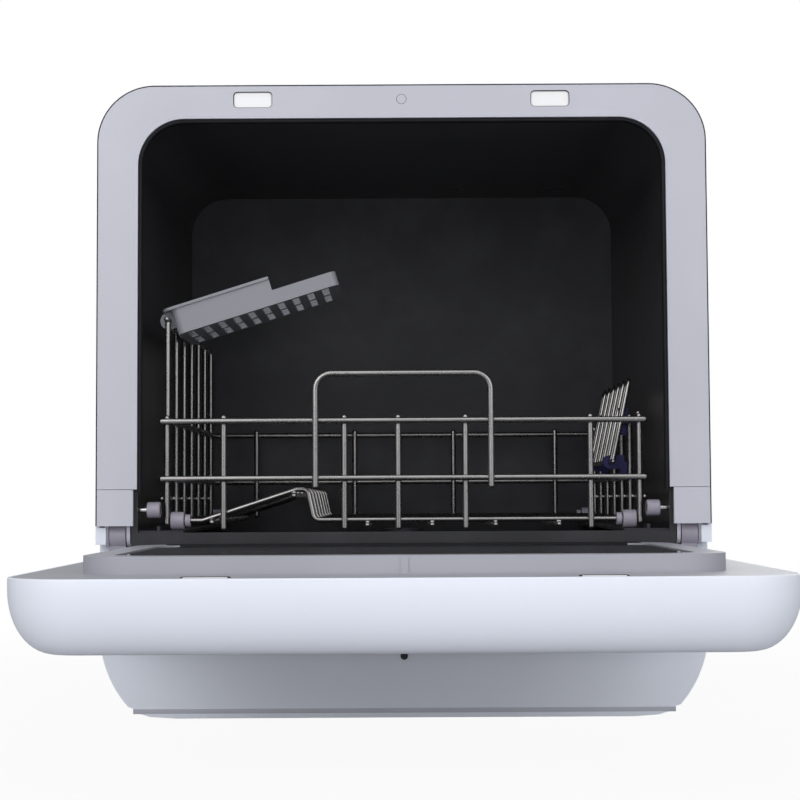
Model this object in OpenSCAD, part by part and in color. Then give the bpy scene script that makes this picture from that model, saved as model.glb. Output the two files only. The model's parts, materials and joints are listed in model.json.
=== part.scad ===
// Countertop dishwasher, two place settings, shown with its door open.
// X points right, -Y points to the person in front of it, +Z points up.
// Every piece is drawn in its assembled place, in millimetres.

/* [Cabinet] */
// Overall width of the cabinet and of the door
body_w = 420; // [400:1:470]
// Overall height, from the feet to the top
body_h = 438; // [425:1:500]
// Depth from the front frame to the rear rim
body_d = 394.5; // [385:0.5:450]
// Radius of the two upper corners seen from the front
corner_r = 40; // [34:1:50]
// Wall of the painted outer shell
shell_wall = 2.5; // [1.5:0.5:4]
// Width of the side rails of the front frame
rail_side = 28.6; // [26:0.2:34]
// Height of the top rail of the front frame
rail_top = 23.7; // [22:0.1:30]
// Corner radius of the opening
opening_r = 32; // [20:1:36]
// Height of the sill under the opening
sill_z = 129.8; // [126:0.1:129.8]

/* [Base] */
// How far the plinth stands behind the front frame
plinth_setback = 22; // [22:0.5:30]
// Wall of the plinth
plinth_wall = 3; // [2:0.5:5]
// Height where the side of the plinth starts to curve inwards
plinth_curve_z = 62; // [55:1:66]
// Radius of that curve
plinth_curve_r = 78; // [75:1:110]
// Radius of a foot
foot_r = 14; // [8:1:16]
// Height of a foot
foot_h = 8; // [6:0.5:10]

/* [Door] */
// Thickness of the door
door_t = 40.5; // [38:0.5:50]
// Gap between the closed door and the frame
door_gap = 0.3; // [0.2:0.1:1]
// Height of the hinge axis
axis_z = 127.8; // [127:0.1:140]
// Distance of the hinge axis from the inner face of the door
axis_lift = 15.5; // [15:0.1:18]
// Length of the door past the hinge axis on its lower end
door_tail = 5; // [3:0.5:5.5]
// Wall of the outer door shell
door_wall = 2.5; // [2:0.5:3]
// Corner radius at the free end of the door
door_r = 40; // [32:1:50]
// Corner radius at the hinge end of the door
door_hinge_r = 26; // [25:1:32]
// How far the outer edge of the door rounds inwards
door_round_w = 24; // [16:1:25]
// How far up the side of the door that rounding reaches
door_round_h = 34; // [24:1:35]
// Half of the width of the raised ridge
ridge_half_w = 177.5; // [170:0.5:179]
// Height of the ridge above the inner face
ridge_h = 9.7; // [6:0.1:9.8]
// Distance from the free end of the door to the ridge
ridge_inset = 49.5; // [40:0.5:60]
// Width of the ridge around the window
ridge_w = 16.5; // [14:0.5:24]
// Thickness of a window pane
pane_t = 3; // [2:0.5:4]

/* [Hinge] */
// Radius of a hinge pin
hinge_pin_r = 3; // [2:0.1:4]
// Running clearance of a hinge pin in its arm, on the radius
hinge_fit = 0.06; // [0.02:0.01:0.1]
// Radius of the round end of a hinge arm
knuckle_r = 9.2; // [7:0.1:9.5]
// Width of a hinge arm
arm_w = 11.2; // [8:0.1:11.6]

/* [Tub] */
// Wall of the tub
tub_wall = 2; // [1.5:0.5:3]
// Depth of the tub, measured from the front frame
tub_d = 332; // [325:1:336]
// Height of the tub floor
tub_floor_z = 100; // [98:1:104]

/* [Basket] */
// Radius of the wires of the front panel
wire_r = 2.1; // [1.8:0.1:2.3]
// Radius of the wires of the floor and the sides
thin_r = 1.9; // [1.6:0.1:2]
// Place of the front panel when the basket is pushed in
basket_y = 20; // [19:0.5:24]
// Depth of the basket
basket_d = 282; // [270:1:290]
// Half of the width of the basket, over the front wires
basket_half_w = 169.5; // [166:0.5:172]
// Height of the upper wire of the basket
upper_z = 206.5; // [195:0.5:220]
// Height of the lower wire of the basket
lower_z = 166.7; // [160:0.5:175]
// Height of the flat part of the basket floor
floor_z = 137.7; // [137:0.1:139]
// Number of wires that cross the floor
cross_count = 7; // [5:1:9]
// Height of the handle loop
handle_top_z = 239; // [225:1:260]
// Half of the width of the handle loop
handle_half_w = 60.7; // [40:0.1:80]
// Radius of a basket wheel
wheel_r = 6.2; // [5.6:0.1:6.4]
// Width of a basket wheel
wheel_w = 9.6; // [7:0.1:10]
// Radius of a guide roller
roller_r = 5.5; // [4.5:0.1:6]
// Radial clearance of wheels and rollers on their axles
wheel_fit = 0.08; // [0.03:0.01:0.1]

/* [Cutlery shelf] */
// Slope of the shelf at rest
shelf_tilt = 17.3; // [5:0.1:25]
// Height of the wire that the shelf hangs on
shelf_wire_z = 278; // [260:1:300]
// Length of the shelf across the basket
shelf_len = 118; // [90:1:130]
// Depth of the shelf
shelf_d = 84; // [60:1:86]
// Height of the tall part of its wall
shelf_tall = 20; // [14:1:24]
// Height of the low part of its wall
shelf_low = 10; // [7:1:12]
// Wall of the shelf
shelf_wall = 2; // [1.5:0.5:2.5]

/* [Tine rack] */
// Number of tine loops
tine_count = 6; // [4:1:8]
// Spacing of the tine loops
tine_pitch = 28; // [26:1:32]
// Length of a tine loop
tine_len = 60; // [45:1:66]

/* [Spray arm] */
// Length of the spray arm from its centre to a tip
spray_r = 140; // [110:1:143]
// Radius of the hub that carries the spray arm
spray_hub_r = 12; // [9:0.5:16]
// Running clearance of the spray arm on its hub, on the radius
spray_fit = 0.1; // [0.05:0.01:0.1]

/* [Connections] */
// Radius of the water inlet thread
inlet_r = 13.2; // [10:0.1:14]
// Radius of the drain spigot
drain_r = 9.5; // [7:0.5:12]
// Radius of the bore of the cable gland
gland_bore_r = 4; // [3:0.1:5]

/* [Hidden] */
$fn = 64;
fn_hull = 32;
eps = 0.01;
seat = 0.05;
gap = 0.3;

half_w = body_w / 2;
shell_half = half_w - shell_wall;
shell_top = body_h - shell_wall;
frame_t = 4;
frame_inset = 0.5;
frame_y1 = frame_t;
opening_half = half_w - rail_side;
opening_top = body_h - rail_top;
block_z0 = 134.5 + axis_z - 127.8;
block_z1 = 159.2 + axis_z - 127.8;

axis_y = axis_lift - door_gap;
door_len = body_h - 0.5 - axis_z;
flange_z = axis_z - axis_lift;
door_out_z = flange_z - door_t;
door_y0 = axis_y - door_len;
door_y1 = axis_y + door_tail;
flange_t = 2.5;
rim = 2.2;
ridge_y0 = door_y0 + ridge_inset;
ridge_y1 = axis_y - 14;
ridge_z = flange_z + ridge_h;
ridge_r = 30;

win_x = ridge_half_w - ridge_w;
win_y0 = ridge_y0 + ridge_w;
win_y1 = ridge_y1 - 28;
win_r = 18;
view_rim = 11;
view_x = win_x - view_rim;
view_y0 = win_y0 + view_rim;
view_y1 = win_y1 - view_rim;
panel_len = 200;
ctrl_y0 = door_y1 - 50;
ctrl_y1 = door_y1 - 28;

// The origin lies under the middle of the part with its door open
origin_y = (body_d + door_y0) / 2;

tub_half = opening_half + 2.6;
tub_out = tub_half + tub_wall;
tub_top = opening_top + 1.7;
tub_front = frame_t + 2;
step_z = 118;
step_y = 28;
tub_back = tub_d - tub_wall;

arm_x = 195.6 + (body_w - 420) / 2;
ear_gap = 0.5;
ear_t = 2.6;
ear_in = arm_x - arm_w / 2 - ear_gap;
ear_out = arm_x + arm_w / 2 + ear_gap;
lip_x = half_w - 7;
pan_half = half_w - 36;
foot_x = 155;
foot_y = [60, body_d - 50];
lens_z = 44;

// The shell stands back from the lower end of the door below swing_z
swing_y = door_y1 + 1.5;
swing_z = axis_z - door_tail - 1;

rear_y = body_d - 22;
rear_t = 2.5;
rear_rim = 2.5;
screw_inset = 6;

catch_x = 102.4;
catch_w = 26.9;
catch_h = 11.3;
catch_r = 3;
catch_z = body_h - 10.8;
switch_r = 3.5;
door_catch_y = axis_y - (catch_z - axis_z);

weld = 0.25;
panel_y = basket_y;
stem_y = panel_y + wire_r + wire_r - weld;
cross_y0 = stem_y + wire_r + thin_r - weld;
back_y = panel_y + basket_d;
cross_pitch = (back_y - cross_y0 - thin_r - wire_r + weld) / (cross_count - 1);
last_cross_y = cross_y0 + (cross_count - 1) * cross_pitch;
side_y = [for (k = [0 : cross_count - 1]) cross_y0 + k * cross_pitch];
side_x = basket_half_w - 5.3;
stem_x = [-124.8, -40.9, -3.5, 43.3, 130.2];
stem_z0 = floor_z - 5.2;
stem_z1 = upper_z + 4.6;
hump_top_z = floor_z + 21.3;
row_x = [-140, -74.3, -66.5, -62];
under_z = floor_z - thin_r - thin_r + weld;
row_bars = [[-133, under_z + 2.4], [-76, hump_top_z - 4.2]];
long_x = [-25, 20, 64, 108];
runner_x = side_x + thin_r + thin_r - weld;

wheel_z = floor_z;
wheel_x = 152.2;
axle_end = wheel_x + wheel_w + 1.6;
wheel_front_y = cross_y0;
wheel_rear_y = last_cross_y;
rail_z = wheel_z - wheel_r - gap;
rail_t = 2;
rail_in = wheel_x - 1.2;
rail_guide_x = side_x + wire_r + 0.5;
rail_guide_h = 3;
rail_y0 = 9;
rail_y1 = tub_back - 6;

roller_z = 145.3 + floor_z - 137.7;
roller_y = 14.2;
roller_w = 9;
roller_x0 = runner_x - 0.6;
roller_x1 = roller_x0 + roller_w;
runner_z = roller_z + roller_r + gap + thin_r;
roller_axle_r = 2;
roller_head_r = 3;
roller_head_t = 1.2;

shelf_y0 = panel_y + 4.6;
shelf_start = 3.8;
shelf_drop = 12.4;
shelf_r = 6;
shelf_lip = 1.5;
shelf_over = 5.5;
clip_w = 6;
clip_r = 6.3;
tall_len = 72;

rack_x = side_x - 14;
rack_z = 178;
rack_lean = 12;
rack_y0 = panel_y + 38;
rack_len = (tine_count - 1) * tine_pitch + 16;
tine_r = 1.6;
rack_r = 1.8;
tine_half = 5.5;
tine_start = 8;
lower_drop = rack_z - lower_z - thin_r + 0.1;

spray_x = 0;
spray_y = 178;
spray_z = tub_floor_z + 15;
spray_t = 9;
hub_top = spray_z + spray_t + 4;
well_x = -78;
well_y = 178;
well_r = 44;
well_z = 62;
pump_x = 62;
pump_z = 54;
motor_y0 = 126;
motor_y1 = 196;
volute_y1 = 228;
outlet_x = pump_x - 36;
outlet_y = 212;
outlet_z = pump_z + 26;
drain_pump_at = [-140, 286, 40];
board_at = [112, 60, 26];
board_size = [58, 130, 1.6];
heater_r = 100;
heater_wire = 3.6;
heater_gap = 35;
heater_z = tub_floor_z + 6.4;

fill_x = 118;
fill_y = body_d - 43;
fill_r = 24;
fill_tube_r = 13;
lid_t = 3;
tank_y0 = tub_d + 4;
tank_y1 = rear_y - 5;
tank_z0 = 152;
tank_z1 = 398;
tank_half = 168;
tank_wall = 2;

inlet_x = -120;
drain_x = -70;
gland_x = 120;
port_z = 92;
port_collar = 2;
port_len = 17.5;

shell_white = "#eef0f7";
trim_grey = "#b4b6c0";
base_grey = "#b9bdc6";
tub_black = "#1d1e24";
seal_black = "#15151a";
wire_steel = "#a7a4a3";
wheel_plum = "#77727f";
clip_navy = "#343460";
glass_dark = "#24262b";

// Puts a piece from the frame of the cabinet into the frame of the part
module placed() {
  translate([0, -origin_y, 0]) children();
}

// Repeats a piece on the left and on the right
module both_sides() {
  children();
  mirror([1, 0, 0]) children();
}

// A flat bar along Y with round upper corners, seen from the front
module arch(half, z0, z1, r, y0, y1) {
  difference() {
    translate([-half, y0, z0]) cube([2 * half, y1 - y0, z1 - z0]);
    both_sides()
      translate([half - r, y0 - 1, z1 - r])
        difference() {
          cube([r + 1, y1 - y0 + 2, r + 1]);
          translate([0, -1, 0]) rotate([-90, 0, 0]) cylinder(r = r, h = y1 - y0 + 4);
        }
  }
}

// A plate along Y with four round corners, seen from the front
module front_plate(x0, x1, z0, z1, r, y0, y1) {
  t = y1 - y0;
  translate([x0 + r, y0, z0]) cube([x1 - x0 - 2 * r, t, z1 - z0]);
  translate([x0, y0, z0 + r]) cube([x1 - x0, t, z1 - z0 - 2 * r]);
  for (x = [x0 + r, x1 - r], z = [z0 + r, z1 - r])
    translate([x, y0, z]) rotate([-90, 0, 0]) cylinder(r = r, h = t);
}

// A plate along Z with four round corners, seen from above
module floor_plate(x0, x1, y0, y1, r, z0, z1) {
  t = z1 - z0;
  translate([x0 + r, y0, z0]) cube([x1 - x0 - 2 * r, y1 - y0, t]);
  translate([x0, y0 + r, z0]) cube([x1 - x0, y1 - y0 - 2 * r, t]);
  for (x = [x0 + r, x1 - r], y = [y0 + r, y1 - r])
    translate([x, y, z0]) cylinder(r = r, h = t);
}

// A round bar from one point to another
module bar(a, b, r) {
  d = b - a;
  len_ab = norm(d);
  polar = acos(d[2] / len_ab);
  turn = atan2(d[1], d[0]);
  translate(a) rotate([0, polar, turn]) cylinder(r = r, h = len_ab);
}

// A round bar with ball ends
module ball_bar(a, b, r) {
  bar(a, b, r);
  translate(a) sphere(r = r);
  translate(b) sphere(r = r);
}

function unit(v) = v / norm(v);
function bend_half(p, i) =
  acos(unit(p[i - 1] - p[i]) * unit(p[i + 1] - p[i])) / 2;
function tangent_len(p, i, rb) = (i == 0 || i == len(p) - 1) ? 0 : rb / tan(bend_half(p, i));
function bend_centre(p, i, rb) =
  p[i] + unit(unit(p[i - 1] - p[i]) + unit(p[i + 1] - p[i])) * rb / sin(bend_half(p, i));
function bend_from(p, i, rb) = p[i] + unit(p[i - 1] - p[i]) * tangent_len(p, i, rb);
function bend_to(p, i, rb) = p[i] + unit(p[i + 1] - p[i]) * tangent_len(p, i, rb);
function heading(v) = atan2(v[1], v[0]);
function short_turn(a) = a > 180 ? a - 360 : (a < -180 ? a + 360 : a);

// A bent wire in the XY plane through the given points, with round bends
module flat_wire(p, r, rb) {
  last = len(p) - 1;
  for (i = [0 : last - 1]) {
    a = i == 0 ? p[0] : bend_to(p, i, rb);
    b = i == last - 1 ? p[last] : bend_from(p, i + 1, rb);
    bar([a[0], a[1], 0], [b[0], b[1], 0], r);
  }
  for (i = [1 : 1 : last - 1]) {
    c = bend_centre(p, i, rb);
    a0 = heading(bend_from(p, i, rb) - c);
    a1 = heading(bend_to(p, i, rb) - c);
    sweep = short_turn(a1 - a0);
    translate([c[0], c[1], 0])
      rotate([0, 0, sweep < 0 ? a0 + sweep : a0])
        rotate_extrude(angle = abs(sweep)) translate([rb, 0]) circle(r = r);
  }
}

// The same wire standing in the XZ plane at a given Y
module front_wire(p, y, r, rb) {
  translate([0, y, 0]) rotate([90, 0, 0]) flat_wire(p, r, rb);
}

// The same wire in the YZ plane at a given X, points given as Y and Z
module side_wire(p, x, r, rb) {
  translate([x, 0, 0]) rotate([90, 0, 90]) flat_wire(p, r, rb);
}

// Cabinet

module outer_shell() {
  color(shell_white) placed() difference() {
    union() {
      difference() {
        arch(half_w, plinth_curve_z, body_h, corner_r, frame_y1 + seat, body_d);
        arch(shell_half, plinth_curve_z - 1, shell_top, corner_r - shell_wall, 0, body_d + 1);
      }
      both_sides() {
        translate([lip_x, frame_y1 + seat, swing_z])
          cube([half_w - lip_x - shell_wall + 1, shell_wall, block_z0 - swing_z - 1]);
        translate([lip_x, swing_y, plinth_curve_z])
          cube([half_w - lip_x - shell_wall + 1, shell_wall, swing_z - plinth_curve_z]);
      }
      difference() {
        arch(shell_half + 1, plinth_curve_z, shell_top + 1, corner_r - shell_wall,
             rear_y - rear_rim, rear_y - seat);
        arch(shell_half - 12, plinth_curve_z - 1, shell_top - 12, corner_r - 12, rear_y - 5, rear_y + 1);
      }
    }
    translate([-half_w - 1, 0, plinth_curve_z - 1])
      cube([body_w + 2, swing_y, swing_z - plinth_curve_z + 1]);
    translate([fill_x, fill_y, body_h - 10]) cylinder(r = fill_r + 2, h = 20);
    rear_screw_places() translate([0, -6, 0]) rotate([-90, 0, 0]) cylinder(r = 1.6, h = 12);
  }
}

// Places of the screws around the rear panel
module rear_screw_places() {
  zs = [plinth_curve_z + 24, 200, 320];
  for (x = [-1, 1], z = zs)
    translate([x * (shell_half - screw_inset), rear_y, z]) children();
  for (x = [-130, -40, 50])
    translate([x, rear_y, shell_top - screw_inset]) children();
}

module port_hole(x, r) {
  translate([x, rear_y - 1, port_z]) rotate([-90, 0, 0]) cylinder(r = r, h = 6);
}

module rear_panel() {
  color(base_grey) placed() difference() {
    arch(shell_half - gap, plinth_curve_z + gap, shell_top - gap, corner_r - shell_wall, rear_y,
         rear_y + rear_t);
    for (i = [0 : 11], j = [0, 1])
      front_plate(-52 + j * 56, -4 + j * 56, 330 - i * 9, 333.6 - i * 9, 1.5, rear_y - 1,
                  rear_y + rear_t + 1);
    port_hole(inlet_x, inlet_r - 1.7);
    port_hole(drain_x, drain_r - 1.7);
    port_hole(gland_x, 9.1);
    rear_screw_places() translate([0, -1, 0]) rotate([-90, 0, 0]) cylinder(r = 1.8, h = 6);
  }
}

module rear_screws() {
  color("silver") placed() rear_screw_places() {
    translate([0, rear_t + seat, 0]) rotate([-90, 0, 0])
      difference() {
        cylinder(r1 = 3.6, r2 = 2.6, h = 1.8);
        translate([-0.4, -3, 1.1]) cube([0.8, 6, 2]);
        translate([-3, -0.4, 1.1]) cube([6, 0.8, 2]);
      }
    translate([0, -5, 0]) rotate([-90, 0, 0]) cylinder(r = 1.5, h = rear_t + 5 + 0.1);
  }
}

// Half outline of the plinth, from the middle of its underside to its top
function plinth_arc(r, n) = [for (i = [0 : n]) let (a = -asin((plinth_curve_z - 10) / r) * (n - i) / n)
  [half_w - plinth_curve_r + r * cos(a), plinth_curve_z + r * sin(a)]];

module plinth_profile(inset) {
  r = plinth_curve_r - inset;
  arc = plinth_arc(r, 12);
  toe_x = arc[0][0] - 3;
  right = concat([[toe_x - 30, 2 + inset], [toe_x - 12, 3.2 + inset], [toe_x - 3, 6 + inset],
                  [toe_x, 9 + inset / 2]], arc);
  left = [for (i = [len(right) - 1 : -1 : 0]) [-right[i][0], right[i][1]]];
  polygon(concat(right, left));
}

module base_plinth() {
  y1 = body_d - 0.5;
  inner_y1 = rear_y - plinth_wall;
  color(base_grey) placed() difference() {
    union() {
      translate([0, y1, 0]) rotate([90, 0, 0]) linear_extrude(y1 - plinth_setback) plinth_profile(0);
      translate([-lip_x + 0.5, plinth_setback, plinth_curve_z - 1])
        cube([2 * lip_x - 1, plinth_wall, step_z - 2 - plinth_curve_z + 1 - gap]);
    }
    difference() {
      translate([0, y1 - plinth_wall, 0]) rotate([90, 0, 0])
        linear_extrude(y1 - plinth_setback - 2 * plinth_wall) plinth_profile(plinth_wall);
      translate([-half_w, inner_y1, plinth_curve_z - plinth_wall]) cube([body_w, body_d, 20]);
    }
    translate([-shell_half + 6, plinth_setback + plinth_wall, plinth_curve_z - 6])
      cube([2 * shell_half - 12, inner_y1 - plinth_setback - plinth_wall, 20]);
    for (x = [-foot_x, foot_x], y = foot_y)
      translate([x, y, -1]) cylinder(r = foot_r + 1, h = foot_h + 3);
    translate([0, plinth_setback - 1, lens_z]) rotate([-90, 0, 0]) cylinder(r = 2.6, h = plinth_wall + 2);
  }
}

module base_pan() {
  color("gray") placed() {
    difference() {
      floor_plate(-pan_half, pan_half, plinth_setback + plinth_wall + 3, rear_y - 6, 8, foot_h + seat,
                  foot_h + 2.5);
      for (i = [-3 : 3])
        floor_plate(i * 30 - 10, i * 30 + 10, 300, 304, 1.5, foot_h - 1, foot_h + 6);
    }
    for (x = [-foot_x, foot_x], y = foot_y)
      translate([x, y, foot_h + 2]) difference() {
        cylinder(r = 7, h = 12);
        translate([0, 0, 4]) cylinder(r = 2, h = 12);
      }
  }
}

module feet() {
  color(seal_black) placed()
    for (x = [-foot_x, foot_x], y = foot_y)
      translate([x, y, 0])
        rotate_extrude() polygon([[0, 0], [foot_r - 3, 0], [foot_r - 1.5, 1.5], [foot_r, 4], [foot_r, foot_h],
                                  [0, foot_h]]);
}

module status_lens() {
  color(seal_black) placed()
    translate([0, plinth_setback - 1.2, lens_z]) rotate([-90, 0, 0]) {
      cylinder(r = 2.5, h = plinth_wall + 3);
      translate([0, 0, plinth_wall + 1.3]) cylinder(r = 5, h = 2);
    }
}

// Front frame around the opening, without its two lower ends
module front_frame() {
  color(trim_grey) placed() difference() {
    union() {
      arch(half_w - frame_inset, block_z1 + gap, body_h - frame_inset, corner_r - frame_inset, 0, frame_t);
      arch(opening_half + 2.2, block_z1 + gap, opening_top + 2.2, opening_r + 2.2, frame_t - 1,
           frame_t + 1.8);
    }
    arch(opening_half, block_z1 - 1, opening_top, opening_r, -1, 20);
    both_sides()
      front_plate(catch_x - catch_w / 2, catch_x + catch_w / 2, catch_z - catch_h / 2,
                  catch_z + catch_h / 2, catch_r, -1, frame_t + 1);
    translate([0, -1, catch_z]) rotate([-90, 0, 0]) cylinder(r = switch_r, h = frame_t + 2);
  }
}

// White magnet catches behind the slots of the frame
module catch_magnets() {
  color("white") placed() both_sides() {
    front_plate(catch_x - catch_w / 2 + gap, catch_x + catch_w / 2 - gap, catch_z - catch_h / 2 + gap,
                catch_z + catch_h / 2 - gap, catch_r - gap, 1.2, frame_t + 1);
    front_plate(catch_x - catch_w / 2 - 2, catch_x + catch_w / 2 + 2, catch_z - catch_h / 2 - 0.9,
                catch_z + catch_h / 2 + 1.3, 1.5, frame_t + seat + 0.05, frame_t + 5);
  }
}

module door_switch() {
  color("dimgray") placed() difference() {
    front_plate(-9, 9, catch_z - 6, catch_z + 7, 2, frame_t + seat, frame_t + 22);
    translate([0, frame_t - 1, catch_z]) rotate([-90, 0, 0]) {
      cylinder(r = 2.7, h = 16);
      cylinder(r = switch_r, h = 4);
    }
  }
}

module door_switch_plunger() {
  color(trim_grey) placed() translate([0, -0.1, catch_z]) rotate([-90, 0, 0]) {
    cylinder(r = 2.6, h = 14);
    translate([0, 0, 0.1]) cylinder(r = 3.2, h = 1.2);
  }
}

// Blocks at the lower ends of the frame, which hold the hinge pins
module hinge_block_right() {
  difference() {
    union() {
      translate([opening_half + 2.6, 0, block_z0])
        cube([half_w - frame_inset - opening_half - 2.6, frame_t, block_z1 - block_z0]);
      translate([ear_in - ear_t, frame_t - eps, block_z0])
        cube([ear_out + ear_t - ear_in + ear_t, 30, block_z1 - block_z0]);
      for (x = [ear_in - ear_t, ear_out])
        translate([x, axis_y, axis_z]) rotate([0, 90, 0]) cylinder(r = 8, h = ear_t);
      for (x = [ear_in - ear_t, ear_out])
        translate([x, axis_y - 8, axis_z]) cube([ear_t, 16, block_z0 - axis_z + 1]);
    }
    translate([ear_in, axis_y, axis_z]) rotate([0, 90, 0]) cylinder(r = knuckle_r + 1, h = ear_out - ear_in);
    translate([ear_in - 10, axis_y, axis_z]) rotate([0, 90, 0])
      cylinder(r = hinge_pin_r + 0.02, h = ear_out - ear_in + 20);
  }
}

module hinge_blocks() {
  color(trim_grey) placed() both_sides() hinge_block_right();
}

module hinge_pins() {
  color("silver") placed() both_sides()
    translate([ear_in - ear_t + 0.2, axis_y, axis_z]) rotate([0, 90, 0])
      cylinder(r = hinge_pin_r, h = ear_out - ear_in + 2 * ear_t - 0.4);
}

// Solid of the tub, grown by w on every side
module tub_body(w) {
  arch(tub_half + w, step_z - w, tub_top + w, opening_r + w, tub_front + tub_wall - w, tub_back + w);
  floor_plate(-tub_half - w, tub_half + w, step_y - w, tub_back + w, 4 + w, tub_floor_z - w, step_z + 4);
}

module tub() {
  color(tub_black) placed() difference() {
    tub_body(tub_wall);
    difference() {
      tub_body(0);
      translate([-tub_half - 5, 0, step_z - 5])
        cube([2 * tub_half + 10, tub_front + tub_wall, sill_z - step_z + 5]);
    }
    intersection() {
      arch(opening_half + 0.2, step_z, opening_top + 0.2, opening_r, 0, tub_front + tub_wall + 1);
      translate([-tub_half, 0, sill_z]) cube([2 * tub_half, 30, body_h]);
    }
    translate([well_x, well_y, tub_floor_z - 10]) cylinder(r = well_r, h = 20);
    translate([spray_x, spray_y, tub_floor_z - 10]) cylinder(r = spray_hub_r + 0.2, h = 20);
    for (a = [-heater_gap, heater_gap])
      translate([spray_x, spray_y, tub_floor_z - 10]) rotate([0, 0, 180 + a])
        translate([heater_r, 0, 0]) cylinder(r = heater_wire + 0.3, h = 20);
    both_sides()
      translate([tub_half - 1, roller_y, roller_z]) rotate([0, 90, 0])
        cylinder(r = roller_axle_r + 0.02, h = tub_wall + 2);
  }
}

module tub_gasket() {
  color(seal_black) placed() difference() {
    arch(opening_half - 0.1, sill_z + 28, opening_top - 0.1, opening_r, 1.2, frame_t + 4);
    arch(opening_half - 2.7, sill_z + 27, opening_top - 2.7, opening_r - 2.6, 0, frame_t + 6);
  }
}

// Ledges that the basket wheels roll on, with a low guide beside the wheels
module basket_rails() {
  color("dimgray") placed() both_sides() {
    translate([rail_in, rail_y0, rail_z - rail_t])
      cube([tub_half - rail_in - seat, rail_y1 - rail_y0, rail_t]);
    translate([rail_guide_x, rail_y0, rail_z - eps])
      cube([rail_t, rail_y1 - rail_y0, rail_guide_h]);
  }
}

module roller_axles() {
  color("silver") placed() both_sides() {
    translate([roller_x0 + 0.2, roller_y, roller_z]) rotate([0, 90, 0])
      cylinder(r = roller_axle_r, h = tub_out + 0.6 - roller_x0);
    translate([tub_out + 0.1, roller_y, roller_z]) rotate([0, 90, 0]) cylinder(r = 4, h = 0.6);
    translate([roller_x0 + 0.1, roller_y, roller_z]) rotate([0, 90, 0])
      cylinder(r = roller_head_r, h = roller_head_t);
  }
}

module guide_roller() {
  translate([roller_x0, roller_y, roller_z]) rotate([0, 90, 0])
    rotate_extrude() polygon([
      [roller_head_r + gap, 0], [roller_r - 0.5, 0], [roller_r, 0.5], [roller_r, roller_w - 0.5],
      [roller_r - 0.5, roller_w], [roller_axle_r + wheel_fit, roller_w],
      [roller_axle_r + wheel_fit, roller_head_t + 0.4], [roller_head_r + gap, roller_head_t + 0.4]
    ]);
}

module guide_roller_right() {
  color(wheel_plum) placed() guide_roller();
}

module guide_roller_left() {
  color(wheel_plum) placed() mirror([1, 0, 0]) guide_roller();
}

// Water path under the tub

module sump() {
  color("dimgray") placed() {
    difference() {
      union() {
        translate([well_x, well_y, well_z])
          cylinder(r = well_r + 2, h = tub_floor_z - tub_wall - well_z - seat);
        translate([well_x, well_y, tub_floor_z - tub_wall - 3 - seat]) cylinder(r = well_r + 8, h = 3);
        translate([well_x, well_y + 30, well_z + 10]) rotate([-90, 0, 0]) cylinder(r = 9, h = 34);
      }
      translate([well_x, well_y, well_z + 2.5]) cylinder(r = well_r - 0.5, h = 60);
      translate([well_x, well_y + 20, well_z + 10]) rotate([-90, 0, 0]) cylinder(r = 7, h = 60);
      translate([well_x, well_y, well_z + 14]) rotate([0, 90, 0]) cylinder(r = 8, h = 60);
    }
  }
}

module filter_cup() {
  color("darkgray") placed() translate([well_x, well_y, 0]) {
    difference() {
      union() {
        translate([0, 0, well_z + 8]) cylinder(r = 24, h = tub_floor_z + 2.6 - well_z - 8);
        translate([0, 0, tub_floor_z + 2.6]) cylinder(r = 27, h = 2.4);
      }
      translate([0, 0, well_z + 10]) cylinder(r = 22, h = 60);
      for (a = [0 : 45 : 315], z = [well_z + 16, well_z + 26])
        rotate([0, 0, a]) translate([20, -4, z]) cube([8, 8, 6]);
    }
    translate([-22.5, -1.5, tub_floor_z - 6]) cube([45, 3, 9]);
  }
}

module filter_plate() {
  color("lightgray") placed() difference() {
    translate([well_x, well_y, tub_floor_z + 0.2]) cylinder(r = well_r + 5, h = 2);
    translate([well_x, well_y, tub_floor_z - 1]) cylinder(r = 24.3, h = 6);
    for (r = [30, 36, 42], a = [0 : 15 : 345])
      translate([well_x, well_y, tub_floor_z - 1]) rotate([0, 0, a])
        translate([r, 0, 0]) cylinder(r = 1.6, h = 6);
  }
}

module spray_hub() {
  color("dimgray") placed() translate([spray_x, spray_y, 0]) {
    difference() {
      union() {
        translate([0, 0, tub_floor_z - 22]) cylinder(r = spray_hub_r, h = hub_top - tub_floor_z + 22);
        translate([0, 0, tub_floor_z + seat]) cylinder(r = spray_hub_r + 8, h = spray_z - tub_floor_z - 0.6);
        translate([0, 0, hub_top - 3]) cylinder(r = spray_hub_r + 3, h = 4);
      }
      translate([0, 0, tub_floor_z - 30]) cylinder(r = spray_hub_r - 3, h = hub_top - tub_floor_z + 30 - 4);
      for (a = [0 : 90 : 270])
        rotate([0, 0, a]) translate([0, 0, spray_z + spray_t / 2]) rotate([0, 90, 0])
          cylinder(r = 2.6, h = 30);
    }
  }
}

module spray_arm() {
  z0 = spray_z;
  color("lightgray") placed() translate([spray_x, spray_y, 0]) difference() {
    union() {
      translate([0, 0, z0]) cylinder(r = spray_hub_r + 9, h = spray_t);
      for (a = [0, 180]) rotate([0, 0, a]) hull() {
        translate([10, 0, z0]) cylinder(r = 17, h = spray_t, $fn = fn_hull);
        translate([spray_r - 10, 6, z0 + 2]) cylinder(r = 10, h = spray_t - 4, $fn = fn_hull);
      }
    }
    translate([0, 0, z0 - 1]) cylinder(r = spray_hub_r + spray_fit, h = spray_t + 2);
    for (a = [0, 180], i = [0 : 5]) rotate([0, 0, a])
      translate([38 + i * 17, 3 - i * 1.2, z0 + spray_t - 3]) cylinder(r = 1.5, h = 5);
  }
}

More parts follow.
